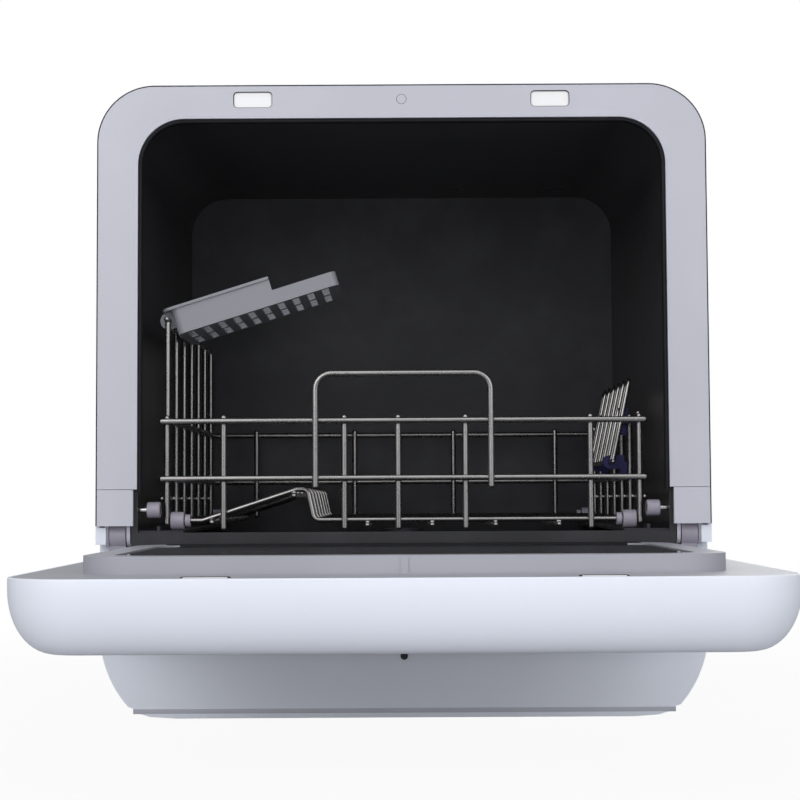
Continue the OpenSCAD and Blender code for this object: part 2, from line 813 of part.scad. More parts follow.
module heater() {
  color("silver") placed() translate([spray_x, spray_y, heater_z]) {
    rotate([0, 0, 180 + heater_gap]) rotate_extrude(angle = 360 - 2 * heater_gap)
      translate([heater_r, 0]) circle(r = heater_wire);
    for (a = [-heater_gap, heater_gap]) rotate([0, 0, 180 + a])
      translate([heater_r, 0, -24]) cylinder(r = heater_wire, h = 24);
  }
}

module wash_pump() {
  color("dimgray") placed() translate([pump_x, 0, pump_z]) {
    translate([0, motor_y1, 0]) rotate([90, 0, 0]) cylinder(r = 30, h = motor_y1 - motor_y0);
    translate([0, motor_y0, 0]) rotate([90, 0, 0]) cylinder(r = 24, h = 8);
    translate([0, volute_y1, 0]) rotate([90, 0, 0]) cylinder(r = 36, h = volute_y1 - motor_y1);
    translate([outlet_x - pump_x, outlet_y, 0]) cylinder(r = 8, h = outlet_z - pump_z);
    translate([0, volute_y1 + 16, 0]) rotate([90, 0, 0]) cylinder(r = 9, h = 18);
    for (y = [motor_y0 + 14, motor_y1 - 16])
      translate([-20, y, -pump_z + foot_h + 2.6]) cube([40, 10, pump_z - foot_h - 2.6 - 20]);
  }
}

module drain_pump() {
  color("gray") placed() translate(drain_pump_at) {
    rotate([90, 0, 0]) cylinder(r = 22, h = 44);
    translate([0, 14, 0]) rotate([90, 0, 0]) cylinder(r = 25, h = 16);
    translate([0, 6, 18]) cylinder(r = 7, h = 22);
    translate([-16, -30, foot_h + 2.6 - drain_pump_at[2]]) cube([32, 14, 16]);
  }
}

// Pipe from the wash pump to the hub of the spray arm
module wash_pipe() {
  color("gray") placed() {
    translate([outlet_x, outlet_y, outlet_z + 0.2]) cylinder(r = 7, h = 6);
    difference() {
      translate([spray_x, spray_y, tub_floor_z - 18]) cylinder(r = spray_hub_r + 3, h = 12);
      translate([spray_x, spray_y, tub_floor_z - 22 + 2]) cylinder(r = spray_hub_r + 0.1, h = 20);
    }
    bar([outlet_x, outlet_y, outlet_z + 6], [spray_x + 9, spray_y + 11, outlet_z + 6], 6);
  }
}

module main_board() {
  color("darkgreen") placed() {
    translate(board_at) cube(board_size);
    for (x = [6, board_size[0] - 6], y = [6, board_size[1] - 6])
      translate([board_at[0] + x, board_at[1] + y, foot_h + 2.6])
        cylinder(r = 3, h = board_at[2] - foot_h - 2.6);
    translate(board_at + [8, 16, 1.5]) cube([22, 26, 16]);
    translate(board_at + [8, 52, 1.5]) cube([16, 40, 10]);
    for (y = [20 : 20 : 80]) translate(board_at + [46, y, 1.5]) cylinder(r = 5, h = 14);
  }
}

module tank_outer(w) {
  translate([-tank_half + w, tank_y0 + w, tank_z0 + w])
    cube([2 * tank_half - 2 * w, tank_y1 - tank_y0 - 2 * w, tank_z1 - tank_z0 - 2 * w]);
}

module water_tank() {
  color("lightsteelblue") placed() difference() {
    union() {
      tank_outer(0);
      translate([fill_x, fill_y, tank_z1 - 1]) cylinder(r = fill_tube_r + 2, h = 6);
      translate([inlet_x, tank_y0 + 12, tank_z0 - 12]) cylinder(r = 6, h = 13);
    }
    tank_outer(tank_wall);
    translate([fill_x, fill_y, tank_z1 - 10]) cylinder(r = fill_tube_r - 2, h = 30);
    translate([inlet_x, tank_y0 + 12, tank_z0 - 20]) cylinder(r = 4, h = 30);
  }
}

module fill_neck() {
  color(base_grey) placed() translate([fill_x, fill_y, 0]) difference() {
    union() {
      translate([0, 0, tank_z1 + 5.2]) cylinder(r = fill_tube_r, h = shell_top - tank_z1 - 6);
      translate([0, 0, shell_top - 6]) cylinder(r = fill_r - 6, h = 6);
      translate([0, 0, shell_top + seat]) cylinder(r = fill_r + 1.8, h = shell_wall - seat);
      translate([0, 0, shell_top - 3]) cylinder(r = fill_r - 4, h = 5);
    }
    translate([0, 0, tank_z1]) cylinder(r = fill_tube_r - 2, h = 80);
    translate([0, 0, body_h - lid_t + 0.9]) cylinder(r = fill_r - 1, h = 10);
  }
}

module fill_cap() {
  color(base_grey) placed() translate([fill_x, fill_y, 0]) {
    difference() {
      union() {
        translate([0, 0, body_h - lid_t + 1.2]) cylinder(r = fill_r - 1.3, h = lid_t - 1.5);
        translate([0, 0, shell_top - 5]) cylinder(r = fill_tube_r - 2 - gap, h = 7);
      }
      for (s = [-1, 1])
        translate([0, s * 8.5, body_h - 1.2]) cube([26, 9, 2], center = true);
    }
  }
}

// Outer end of a connection: a collar on the rear panel and a spigot with a bore
module port(x, r, bore_r, depth) {
  translate([x, rear_y, port_z]) rotate([-90, 0, 0]) difference() {
    union() {
      translate([0, 0, -depth]) cylinder(r = r - 2, h = depth + rear_t + 1);
      translate([0, 0, rear_t + seat]) cylinder(r = r + 4, h = port_collar);
      translate([0, 0, rear_t + seat]) cylinder(r = r, h = port_len);
    }
    translate([0, 0, -depth - 1]) cylinder(r = bore_r, h = 80);
  }
}

module inlet_valve() {
  color("white") placed() {
    port(inlet_x, inlet_r, inlet_r - 4, 6);
    translate([inlet_x, rear_y - 34, port_z]) rotate([-90, 0, 0]) cylinder(r = inlet_r + 2, h = 28.5);
    translate([inlet_x, rear_y - 20, port_z]) cylinder(r = 5.5, h = tank_z0 - port_z - 12.1);
    translate([inlet_x - 15, rear_y - 32, port_z - 38]) cube([30, 22, 26]);
  }
}

module drain_spigot() {
  color("gray") placed() port(drain_x, drain_r, drain_r - 3, 20);
}

module cable_gland() {
  color(seal_black) placed() translate([gland_x, rear_y, port_z]) rotate([-90, 0, 0]) difference() {
    union() {
      translate([0, 0, -8]) cylinder(r = 9, h = 16);
      translate([0, 0, -12]) cylinder(r = 13, h = 11.8);
      translate([0, 0, rear_t + 0.2]) cylinder(r = 12, h = 5);
    }
    translate([0, 0, -20]) cylinder(r = gland_bore_r, h = 40);
  }
}

// Door, drawn open

// One corner of the door as a turned solid, of radius r, shrunk by w
module door_corner(r, w) {
  rw = door_round_w;
  rh = door_round_h;
  pts = [for (i = [0 : 8]) let (a = 90 * i / 8) [r - rw + (rw - w) * cos(a), rh - (rh - w) * sin(a)]];
  rotate_extrude($fn = fn_hull + 16)
    polygon(concat([[0, w], [0, door_t]], [[r - w, door_t]], pts));
}

module door_solid(w) {
  hull() {
    for (s = [-1, 1]) {
      translate([s * (half_w - door_r), door_y0 + door_r, door_out_z]) door_corner(door_r, w);
      translate([s * (half_w - door_hinge_r), door_y1 - door_hinge_r, door_out_z])
        door_corner(door_hinge_r, w);
    }
  }
}

module door_outer_shell() {
  color(shell_white) placed() difference() {
    door_solid(0);
    difference() {
      door_solid(door_wall);
      translate([-half_w, door_y0, door_out_z - 1]) cube([body_w, door_len * 2, door_wall + 1]);
    }
    translate([0, 0, -eps])
      difference() {
        floor_plate(-half_w + rim, half_w - rim, door_y0 + rim, door_y1 - rim, door_hinge_r - rim,
                    flange_z - 6, flange_z + 2);
        corner_fillers();
      }
    floor_plate(-view_x + 4, view_x - 4, view_y0 + 4, view_y1 - 14, win_r - 4, door_out_z - 1,
                door_out_z + 6);
    floor_plate(-panel_len / 2, panel_len / 2, ctrl_y0, ctrl_y1, 6, door_out_z - 1, door_out_z + 6);
  }
}

// Material outside the free corners of the inner panel
module corner_fillers() {
  both_sides()
    translate([half_w - door_r, door_y0, flange_z - 7])
      difference() {
        translate([0, -1, 0]) cube([door_r + 1, door_r + 1, 12]);
        translate([0, door_r, -1]) cylinder(r = door_r - rim, h = 14);
      }
}

module flange_outline(inset, z0, z1) {
  difference() {
    floor_plate(-half_w + rim + inset, half_w - rim - inset, door_y0 + rim + inset, door_y1 - rim - inset,
                door_hinge_r - rim - inset, z0, z1);
    both_sides()
      translate([half_w - door_r, door_y0 + door_r, z0 - 1])
        difference() {
          translate([0, -door_r - 1, 0]) cube([door_r + 1, door_r + 1, z1 - z0 + 2]);
          translate([0, 0, -1]) cylinder(r = door_r - rim - inset, h = z1 - z0 + 4);
        }
  }
}

module door_inner_panel() {
  color(trim_grey) placed() difference() {
    union() {
      flange_outline(gap, flange_z - flange_t, flange_z);
      floor_plate(-ridge_half_w, ridge_half_w, ridge_y0, ridge_y1, ridge_r, flange_z - flange_t, ridge_z);
      translate([-2, ridge_y0 - 1.2, flange_z - eps]) cube([4, 3, ridge_h - 1]);
    }
    floor_plate(-win_x, win_x, win_y0, win_y1, win_r, ridge_z - pane_t - 0.6, ridge_z + 1);
    floor_plate(-view_x, view_x, view_y0, view_y1, win_r - 8, flange_z - 5, ridge_z + 1);
    both_sides()
      floor_plate(catch_x - catch_w / 2, catch_x + catch_w / 2, door_catch_y - catch_h / 2,
                  door_catch_y + catch_h / 2, catch_r, flange_z - 5, flange_z + 1);
  }
}

module window_inner_pane() {
  color(glass_dark) placed()
    floor_plate(-win_x + gap, win_x - gap, win_y0 + gap, win_y1 - gap, win_r - gap,
                ridge_z - pane_t - 0.55, ridge_z - 0.55);
}

module window_outer_pane() {
  color(glass_dark) placed()
    floor_plate(-view_x - 4, view_x + 4, view_y0 - 4, view_y1 - 6, win_r - 4,
                door_out_z + door_wall + seat, door_out_z + door_wall + pane_t);
}

module control_panel() {
  color(seal_black) placed() {
    floor_plate(-panel_len / 2 + gap, panel_len / 2 - gap, ctrl_y0 + gap, ctrl_y1 - gap, 5.7,
                door_out_z + 0.4, door_out_z + door_wall + 1);
    floor_plate(-panel_len / 2 - 4, panel_len / 2 + 4, ctrl_y0 - 3, ctrl_y1 + 3, 6,
                door_out_z + door_wall + seat, door_out_z + door_wall + 2);
  }
}

module display_board() {
  color("darkgreen") placed() {
    translate([-90, ctrl_y0 + 1, door_out_z + door_wall + 5]) cube([180, 20, 1.6]);
    for (x = [-84, 84])
      translate([x, ctrl_y0 + 11, door_out_z + door_wall + 2 + seat]) cylinder(r = 3, h = 3.1);
    translate([-20, ctrl_y0 + 5, door_out_z + door_wall + 6.5]) cube([40, 12, 5]);
  }
}

// White striker plates in the slots of the inner panel
module catch_strikers() {
  color("white") placed() both_sides() {
    floor_plate(catch_x - catch_w / 2 + gap, catch_x + catch_w / 2 - gap, door_catch_y - catch_h / 2 + gap,
                door_catch_y + catch_h / 2 - gap, catch_r - gap, flange_z - flange_t - 0.5, flange_z - 0.8);
    floor_plate(catch_x - catch_w / 2 - 2, catch_x + catch_w / 2 + 2, door_catch_y - catch_h / 2 - 1,
                door_catch_y + catch_h / 2 + 2, 1.5, flange_z - flange_t - 3, flange_z - flange_t - seat);
  }
}

module hinge_arm_right() {
  difference() {
    translate([arm_x - arm_w / 2, 0, 0]) union() {
      translate([0, axis_y, axis_z]) rotate([0, 90, 0]) cylinder(r = knuckle_r, h = arm_w);
      translate([0, axis_y - 6, flange_z + seat]) cube([arm_w, 10.6, axis_lift]);
    }
    translate([arm_x - arm_w, axis_y, axis_z]) rotate([0, 90, 0])
      cylinder(r = hinge_pin_r + hinge_fit, h = 2 * arm_w);
  }
}

module hinge_arms() {
  color(wheel_plum) placed() both_sides() hinge_arm_right();
}

// Basket

module basket_front() {
  color(wire_steel) placed() {
    for (z = [upper_z, lower_z])
      ball_bar([-basket_half_w + wire_r, panel_y, z], [basket_half_w - wire_r, panel_y, z], wire_r);
    for (x = stem_x)
      ball_bar([x, stem_y, stem_z0], [x, stem_y, stem_z1 - wire_r], wire_r);
    for (s = [-1, 1])
      ball_bar([s * side_x, stem_y, floor_z - 1.5], [s * side_x, stem_y, stem_z1 - wire_r], wire_r);
  }
}

module basket_handle() {
  color(wire_steel) placed()
    front_wire([[-handle_half_w, lower_z - 5.5], [-handle_half_w, handle_top_z],
                [handle_half_w, handle_top_z], [handle_half_w, lower_z - 5.5]],
               panel_y - wire_r - wire_r + weld, wire_r + 0.1, 11);
}

// Profile of the wires that cross the floor: a sloping cup row on the left, then a flat floor
function cross_profile(end_x) = [[-end_x, floor_z], [row_x[0], floor_z], [row_x[1], hump_top_z],
                                 [row_x[2], hump_top_z], [row_x[3], floor_z], [end_x, floor_z]];

// A wire through points given as X and Z, with a small ball in each bend
module bent_wire(p, y, r) {
  for (i = [0 : len(p) - 2])
    bar([p[i][0], y, p[i][1]], [p[i + 1][0], y, p[i + 1][1]], r);
  for (i = [1 : 1 : len(p) - 2])
    translate([p[i][0], y, p[i][1]]) sphere(r = r + 0.05);
}

module basket_floor() {
  color(wire_steel) placed() {
    for (k = [0 : cross_count - 1])
      bent_wire(cross_profile(k == 0 || k == cross_count - 1 ? axle_end : side_x - 0.4),
                cross_y0 + k * cross_pitch, thin_r);
    for (x = long_x)
      ball_bar([x, cross_y0 - 3, under_z], [x, last_cross_y + 3, under_z], thin_r);
    for (b = row_bars)
      ball_bar([b[0], cross_y0 - 3, b[1]], [b[0], last_cross_y + 3, b[1]], thin_r);
  }
}

// Side wires of the basket, with stems from the floor up to a given height
module basket_side(top_z, s) {
  for (y = side_y)
    bar([s * side_x, y, floor_z], [s * side_x, y, top_z], thin_r);
  for (z = [upper_z, lower_z])
    bar([s * (side_x - thin_r - thin_r + weld), panel_y + 1, z],
        [s * (side_x - thin_r - thin_r + weld), back_y - 1, z], thin_r);
  ball_bar([s * runner_x, side_y[0] - 2, runner_z], [s * runner_x, last_cross_y + 2, runner_z], thin_r);
}

module basket_left() {
  color(wire_steel) placed() {
    basket_side(shelf_wire_z, -1);
    ball_bar([-side_x, panel_y + 2, shelf_wire_z], [-side_x, back_y, shelf_wire_z], thin_r);
  }
}

module basket_right() {
  color(wire_steel) placed() basket_side(upper_z + 4.4, 1);
}

module basket_back() {
  y = back_y;
  color(wire_steel) placed() {
    for (z = [upper_z, lower_z])
      ball_bar([-basket_half_w + wire_r, y, z], [basket_half_w - wire_r, y, z], wire_r);
    for (x = stem_x)
      ball_bar([x, y - wire_r - wire_r + weld, floor_z + 1],
               [x, y - wire_r - wire_r + weld, stem_z1 - wire_r], wire_r);
  }
}

// Plastic clips that hold the wheels on the ends of the floor wires
module wheel_holders() {
  color("gray") placed()
    for (y = [wheel_front_y, wheel_rear_y], s = [-1, 1])
      translate([s * (wheel_x - 2.3), y, floor_z]) rotate([0, 90, 0])
        translate([0, 0, -1.9]) cylinder(r = 4.4, h = 3.8);
}

module wheel(s, y) {
  color(wheel_plum) placed()
    translate([s > 0 ? wheel_x : -wheel_x - wheel_w, y, wheel_z]) rotate([0, 90, 0])
      rotate_extrude() polygon([
        [thin_r + wheel_fit, 0], [wheel_r - 0.6, 0], [wheel_r, 0.6], [wheel_r, wheel_w - 0.6],
        [wheel_r - 0.6, wheel_w], [thin_r + wheel_fit, wheel_w]
      ]);
}

module wheel_front_left() { wheel(-1, wheel_front_y); }
module wheel_front_right() { wheel(1, wheel_front_y); }
module wheel_rear_left() { wheel(-1, wheel_rear_y); }
module wheel_rear_right() { wheel(1, wheel_rear_y); }

// Cutlery shelf, hung on the left wire

module cutlery_shelf() {
  w = shelf_wall;
  u0 = shelf_start;
  u1 = u0 + shelf_len;
  v0 = -shelf_drop;
  v1 = v0 + shelf_tall;
  color("darkgray") placed()
    translate([-side_x, shelf_y0, shelf_wire_z]) rotate([0, -shelf_tilt, 0]) {
      difference() {
        union() {
          floor_plate(u0, u1, 0, shelf_d, shelf_r, v0, v1);
          floor_plate(u0 - shelf_over, u1, -shelf_lip, shelf_d + shelf_lip, shelf_r, v1 - w, v1);
        }
        floor_plate(u0 + w, u1 - w, w, shelf_d - w, shelf_r - w, v0 + w, v1 + 1);
        translate([u0 + tall_len, -shelf_lip - 1, v0 + shelf_low])
          cube([shelf_len, shelf_d + 2 * shelf_lip + 2, shelf_tall]);
        for (i = [0 : 9], j = [0, 1])
          translate([u0 + 6 + i * 11, 5 + j * (shelf_d / 2 - 2), v0 - 1]) cube([5, shelf_d / 2 - 8, w + 2]);
      }
      for (y = [10, shelf_d - 4 - clip_w]) difference() {
        union() {
          translate([0, y, 0]) rotate([-90, 0, 0]) cylinder(r = clip_r, h = clip_w);
          translate([0, y, -6]) cube([u0 + 1, clip_w, 9]);
        }
        translate([0, y - 1, 0]) rotate([-90, 0, 0]) cylinder(r = thin_r + wheel_fit, h = clip_w + 2);
      }
    }
}

// Folding rack of wire loops on the right side

module tine_rack() {
  color(wire_steel) placed() translate([rack_x, rack_y0, rack_z]) {
    ball_bar([0, 0, 0], [0, rack_len, 0], rack_r);
    for (k = [0 : tine_count - 1])
      translate([0, tine_start + k * tine_pitch, 0]) rotate([0, rack_lean, 0])
        side_wire([[-tine_half, 0], [-tine_half, tine_len], [tine_half, tine_len], [tine_half, 0]],
                  0, tine_r, 5);
  }
}

module clip_base(y) {
  translate([rack_x, y, rack_z]) difference() {
    union() {
      rotate([-90, 0, 0]) cylinder(r = 5, h = 9);
      translate([0, 0, -5]) cube([side_x - rack_x - 2 * thin_r - 0.1 + weld, 9, 10]);
      translate([side_x - rack_x - 3 * thin_r - 1, 0, -lower_drop]) cube([thin_r * 2 + 1, 9, lower_drop]);
    }
    translate([0, -1, 0]) rotate([-90, 0, 0]) cylinder(r = rack_r + wheel_fit, h = 12);
  }
}

module tine_clips() {
  color(clip_navy) placed()
    for (k = [0, tine_count - 2])
      clip_base(rack_y0 + tine_start + k * tine_pitch + tine_pitch / 2 - 4.5);
}

// Catches on the upper side wire that hold the rack upright
module tine_locks() {
  color(clip_navy) placed()
    for (k = [0, tine_count - 2])
      translate([side_x - 2 * thin_r + weld, rack_y0 + tine_start + (k + 0.5) * tine_pitch - 4, upper_z]) {
        difference() {
          translate([-3.4, 0, -9]) cube([6.4, 8, 20]);
          translate([0, -1, 0]) rotate([-90, 0, 0]) cylinder(r = thin_r + 0.02, h = 12);
        }
      }
}

outer_shell();
rear_panel();
rear_screws();
base_plinth();
base_pan();
feet();
status_lens();
front_frame();
catch_magnets();
door_switch();
door_switch_plunger();
hinge_blocks();
hinge_pins();
tub();
tub_gasket();
basket_rails();
roller_axles();
guide_roller_left();
guide_roller_right();
sump();
filter_cup();
filter_plate();
spray_hub();
spray_arm();
heater();
wash_pump();
drain_pump();
wash_pipe();
main_board();
water_tank();
fill_neck();
fill_cap();
inlet_valve();
drain_spigot();
cable_gland();
door_outer_shell();
door_inner_panel();
window_inner_pane();
window_outer_pane();
control_panel();
display_board();
catch_strikers();
hinge_arms();
basket_front();
basket_handle();
basket_floor();
basket_left();
basket_right();
basket_back();
wheel_holders();
wheel_front_left();
wheel_front_right();
wheel_rear_left();
wheel_rear_right();
cutlery_shelf();
tine_rack();
tine_clips();
tine_locks();
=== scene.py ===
"""Looks of a countertop dishwasher with its door open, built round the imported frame."""
import sys

import json
import logging
import math
from dataclasses import dataclass
from enum import Enum
from typing import Iterable, Sequence

import bmesh
import bpy
from bmesh.types import BMesh
from bpy.types import Material, Mesh, Node, NodeSocket, Object
from mathutils import Matrix, Vector


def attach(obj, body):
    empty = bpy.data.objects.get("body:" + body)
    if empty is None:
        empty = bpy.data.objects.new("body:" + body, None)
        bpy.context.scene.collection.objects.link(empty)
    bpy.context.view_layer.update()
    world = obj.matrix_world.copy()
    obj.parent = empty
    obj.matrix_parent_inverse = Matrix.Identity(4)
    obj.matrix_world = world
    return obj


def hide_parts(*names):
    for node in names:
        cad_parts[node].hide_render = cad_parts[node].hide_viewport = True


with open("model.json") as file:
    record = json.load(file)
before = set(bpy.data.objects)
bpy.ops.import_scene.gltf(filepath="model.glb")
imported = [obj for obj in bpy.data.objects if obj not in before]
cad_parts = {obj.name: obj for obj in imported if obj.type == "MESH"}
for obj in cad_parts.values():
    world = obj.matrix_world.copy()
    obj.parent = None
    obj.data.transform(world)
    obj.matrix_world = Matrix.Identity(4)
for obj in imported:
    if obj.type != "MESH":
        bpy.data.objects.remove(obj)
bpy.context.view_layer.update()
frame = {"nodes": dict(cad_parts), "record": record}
LOG = logging.getLogger("dishwasher")

Point = tuple[float, float, float]
Pair = tuple[float, float]
Colour = tuple[float, float, float]
MM = 0.001  # metres in a millimetre
ORIGIN_Y = 50.0  # millimetres from the front face of the cabinet back to the frame's origin
SHARP_EDGE = 32.0  # degrees past which an edge is rounded
FLAT_EDGE = 0.4  # degrees under which the faces at an edge are merged
SAME_POINT = 2e-6  # metres within which two points are one
LEAST_REACH = 0.05  # millimetres that are left of the radius of a corner that is set in
SIDES = (-1, 1)  # left and right
WHITE = (1.0, 1.0, 1.0, 1.0)
VIEWPORT_GREY = (0.6, 0.6, 0.6, 1.0)


def place(x: float, y: float, z: float) -> Vector:
    """Turns a point of the machine, in millimetres, into the shared frame, in metres."""
    return Vector((x * MM, (y - ORIGIN_Y) * MM, z * MM))


def circle(radius: float, x: float, y: float, count: int) -> list[Pair]:
    """Gives the points of a circle.

    Args:
        radius: its radius.
        x: its middle, first value.
        y: its middle, second value.
        count: how many points.

    Returns:
        Pairs of values, anticlockwise.
    """
    angles = [math.tau * i / count for i in range(count)]
    return [(x + radius * math.cos(a), y + radius * math.sin(a)) for a in angles]


# Node trees


class NodeTree:
    """A node tree whose nodes all come from one method."""

    def __init__(self, tree: bpy.types.NodeTree) -> None:
        """Keeps the tree's nodes and links."""
        self.nodes = tree.nodes
        self.links = tree.links

    def node(self, kind: str, settings: dict | None = None, inputs: dict | None = None) -> Node:
        """Adds one node.

        Args:
            kind: the node's type.
            settings: its own settings, set before its sockets.
            inputs: by socket name or index, a value, a Socket, an output, a node or a list of them.

        Returns:
            The node.
        """
        made = self.nodes.new(kind)
        for key, value in (settings or {}).items():
            setattr(made, key, value)
        for key, value in (inputs or {}).items():
            for item in value if isinstance(value, list) else [value]:
                self.feed(made.inputs[key], item)
        return made

    def feed(self, socket: NodeSocket, item: object) -> None:
        """Links an output to an input socket, or sets the socket's own value.

        Args:
            socket: the input socket.
            item: a value, a Socket, an output, or a node, which stands for its first output.
        """
        if isinstance(item, Socket):
            item = item.link
        elif isinstance(item, Node):
            item = item.outputs[0]
        if isinstance(item, NodeSocket):
            self.links.new(item, socket)
        else:
            socket.default_value = item


class Socket:
    """A shader node's output that takes part in Python arithmetic."""

    def __init__(self, tree: "MaterialTree", link: NodeSocket) -> None:
        """Wraps an output socket of a tree."""
        self.tree = tree
        self.link = link

    def __add__(self, other: "Socket | float") -> "Socket":
        """Adds a value."""
        return self.tree.maths("ADD", self, other)

    def __mul__(self, other: "Socket | float") -> "Socket":
        """Multiplies by a value."""
        return self.tree.maths("MULTIPLY", self, other)

    def __rsub__(self, other: float) -> "Socket":
        """Takes this away from a number."""
        return self.tree.maths("SUBTRACT", other, self)

    __radd__ = __add__
    __rmul__ = __mul__

    def above(self, low: float, high: float) -> "Socket":
        """Rises from 0 at low to 1 at high.

        Args:
            low: value where the result leaves 0.
            high: value where the result reaches 1.

        Returns:
            The eased share.
        """
        node = self.tree.node("ShaderNodeMapRange", {"interpolation_type": "SMOOTHSTEP"},
                              {"Value": self, "From Min": low, "From Max": high})
        return self.tree.out(node)


class MaterialTree(NodeTree):
    """The node tree of one material."""

    def __init__(self, name: str) -> None:
        """Makes an empty material.

        Args:
            name: the material's name.
        """
        self.material = bpy.data.materials.new(name)
        self.material.use_nodes = True
        super().__init__(self.material.node_tree)
        self.nodes.clear()
        self.spot = self.out(self.node("ShaderNodeTexCoord"), "Object")

    def out(self, node: Node, which: str | int = 0) -> Socket:
        """Wraps an output of a node."""
        return Socket(self, node.outputs[which])

    def maths(self, operation: str, first: "Socket | float", second: "Socket | float") -> Socket:
        """Adds one Math node for two values."""
        return self.out(self.node("ShaderNodeMath", {"operation": operation}, {0: first, 1: second}))

    def stretched(self, scale: Point) -> Socket:
        """Gives the place on the piece, with each axis scaled by a factor of its own."""
        return self.out(self.node("ShaderNodeMapping", {"vector_type": "POINT"},
                                  {"Vector": self.spot, "Scale": scale}))

    def noise(self, scale: float, detail: float = 2.0, rough: float = 0.5,
              spot: Socket | None = None) -> Socket:
        """Adds a noise texture.

        Args:
            scale: waves per metre.
            detail: octaves.
            rough: weight of the small octaves.
            spot: the place that it reads, or none for the piece itself.

        Returns:
            A value about 0.5.
        """
        return self.out(self.node("ShaderNodeTexNoise", {"noise_dimensions": "3D"},
                                  {"Vector": spot or self.spot, "Scale": scale, "Detail": detail,
                                   "Roughness": rough}))

    def cells(self, scale: float, feature: str = "F1", spot: Socket | None = None,
              output: str = "Distance") -> Socket:
        """Adds a Voronoi texture.

        Args:
            scale: cells per metre.
            feature: what of the cells is measured.
            spot: the place that it reads, or none for the piece itself.
            output: the output that is used.

        Returns:
            That output.
        """
        return self.out(self.node("ShaderNodeTexVoronoi", {"feature": feature},
                                  {"Vector": spot or self.spot, "Scale": scale}), output)

    def mixed(self, share: "Socket | float", low: "Socket | Colour", high: "Socket | Colour") -> Socket:
        """Mixes two colours.

        Args:
            share: 0 gives low, 1 gives high.
            low: first colour.
            high: second colour.

        Returns:
            The mixed colour.
        """
        first, second = (c if isinstance(c, Socket) else (*c, 1.0) for c in (low, high))
        node = self.node("ShaderNodeMix", {"data_type": "RGBA", "clamp_factor": True},
                         {0: share, 6: first, 7: second})
        return self.out(node, 2)

    def bump(self, height: Socket, depth: float, strength: float, over: Socket | None = None) -> Socket:
        """Adds a bump.

        Args:
            height: its pattern, from 0 to 1.
            depth: how deep it goes, in metres.
            strength: its share, from 0 to 1.
            over: an earlier bump that it lies on.

        Returns:
            The bumped normal.
        """
        inputs = {"Height": height, "Distance": depth, "Strength": strength}
        if over is not None:
            inputs["Normal"] = over
        return self.out(self.node("ShaderNodeBump", {}, inputs))

    def principled(self, colour: Socket, rough: Socket, normal: Socket, **plain: float) -> Material:
        """Ends the tree in a Principled shader.

        Args:
            colour: its base colour.
            rough: its roughness.
            normal: its bumped normal.
            **plain: numbers for other sockets, with underscores for spaces.

        Returns:
            The material.
        """
        inputs = {key.replace("_", " "): value for key, value in plain.items()}
        inputs |= {"Base Color": colour, "Roughness": rough, "Normal": normal}
        shader = self.node("ShaderNodeBsdfPrincipled", {}, inputs)
        self.node("ShaderNodeOutputMaterial", {}, {"Surface": shader})
        self.material.diffuse_color = VIEWPORT_GREY
        return self.material


# Finishes


@dataclass(frozen=True)
class Finish:
    """What every finish has: a name and a plain colour."""

    name: str
    colour: Colour

    def make(self) -> Material:
        """Builds the material."""
        raise NotImplementedError

    def shade(self, factor: float) -> Colour:
        """Gives the colour, darker or lighter by a factor."""
        return tuple(min(1.0, c * factor) for c in self.colour)


@dataclass(frozen=True)
class Coat(Finish):
    """Powder coat on sheet: an even film with a faint orange peel."""

    roughness: float = 0.32
    peel: float = 0.000035

    def make(self) -> Material:
        """Builds the material.

        Returns:
            The coat, with its slow drift of tone, fine specks and rubbed gloss.
        """
        tree = MaterialTree(self.name)
        drift = tree.noise(5.0)
        film = tree.noise(420.0, rough=0.55)
        speck = tree.noise(2600.0, detail=1.0).above(0.70, 0.78)
        rubbed = tree.noise(38.0, detail=4.0, rough=0.62)
        colour = tree.mixed(drift.above(0.3, 0.7), self.shade(0.985), self.shade(1.012))
        colour = tree.mixed(speck * 0.05, colour, self.shade(0.86))
        rough = rubbed * 0.10 + (self.roughness - 0.05)
        normal = tree.bump(film, self.peel, 0.6, tree.bump(tree.noise(1500.0), 0.000012, 0.5))
        return tree.principled(colour, rough, normal, Specular_IOR_Level=0.45, Coat_Weight=0.12,
                               Coat_Roughness=0.22)


@dataclass(frozen=True)
class Moulding(Finish):
    """Injection moulded plastic with a fine spark-eroded grain."""

    roughness: float = 0.42
    grain: float = 1900.0
    grain_depth: float = 0.000035
    specular: float = 0.5
    coat: float = 0.0
    drift: float = 0.03

    def make(self) -> Material:
        """Builds the material.

        Returns:
            The plastic, with flow marks, grain, pits and fine rubbed lines.
        """
        tree = MaterialTree(self.name)
        flow = tree.noise(7.0, detail=3.0, rough=0.55, spot=tree.stretched((1.0, 1.6, 0.8)))
        fine = tree.noise(self.grain, rough=0.6)
        pits = tree.cells(self.grain * 0.8)
        rubbed = tree.noise(46.0, detail=4.0, rough=0.6)
        lines = tree.noise(210.0, spot=tree.stretched((0.08, 1.0, 1.0)))
        colour = tree.mixed(flow.above(0.3, 0.7), self.shade(1.0 - self.drift), self.shade(1.0 + self.drift))
        colour = tree.mixed(fine.above(0.6, 0.85) * 0.10, colour, self.shade(0.72))
        rough = rubbed * 0.12 + lines * 0.05 + (self.roughness - 0.085)
        normal = tree.bump(pits, self.grain_depth, 0.35, tree.bump(fine, self.grain_depth, 0.5))
        return tree.principled(colour, rough, normal, Coat_Roughness=0.16, Specular_IOR_Level=self.specular,
                               Coat_Weight=self.coat)


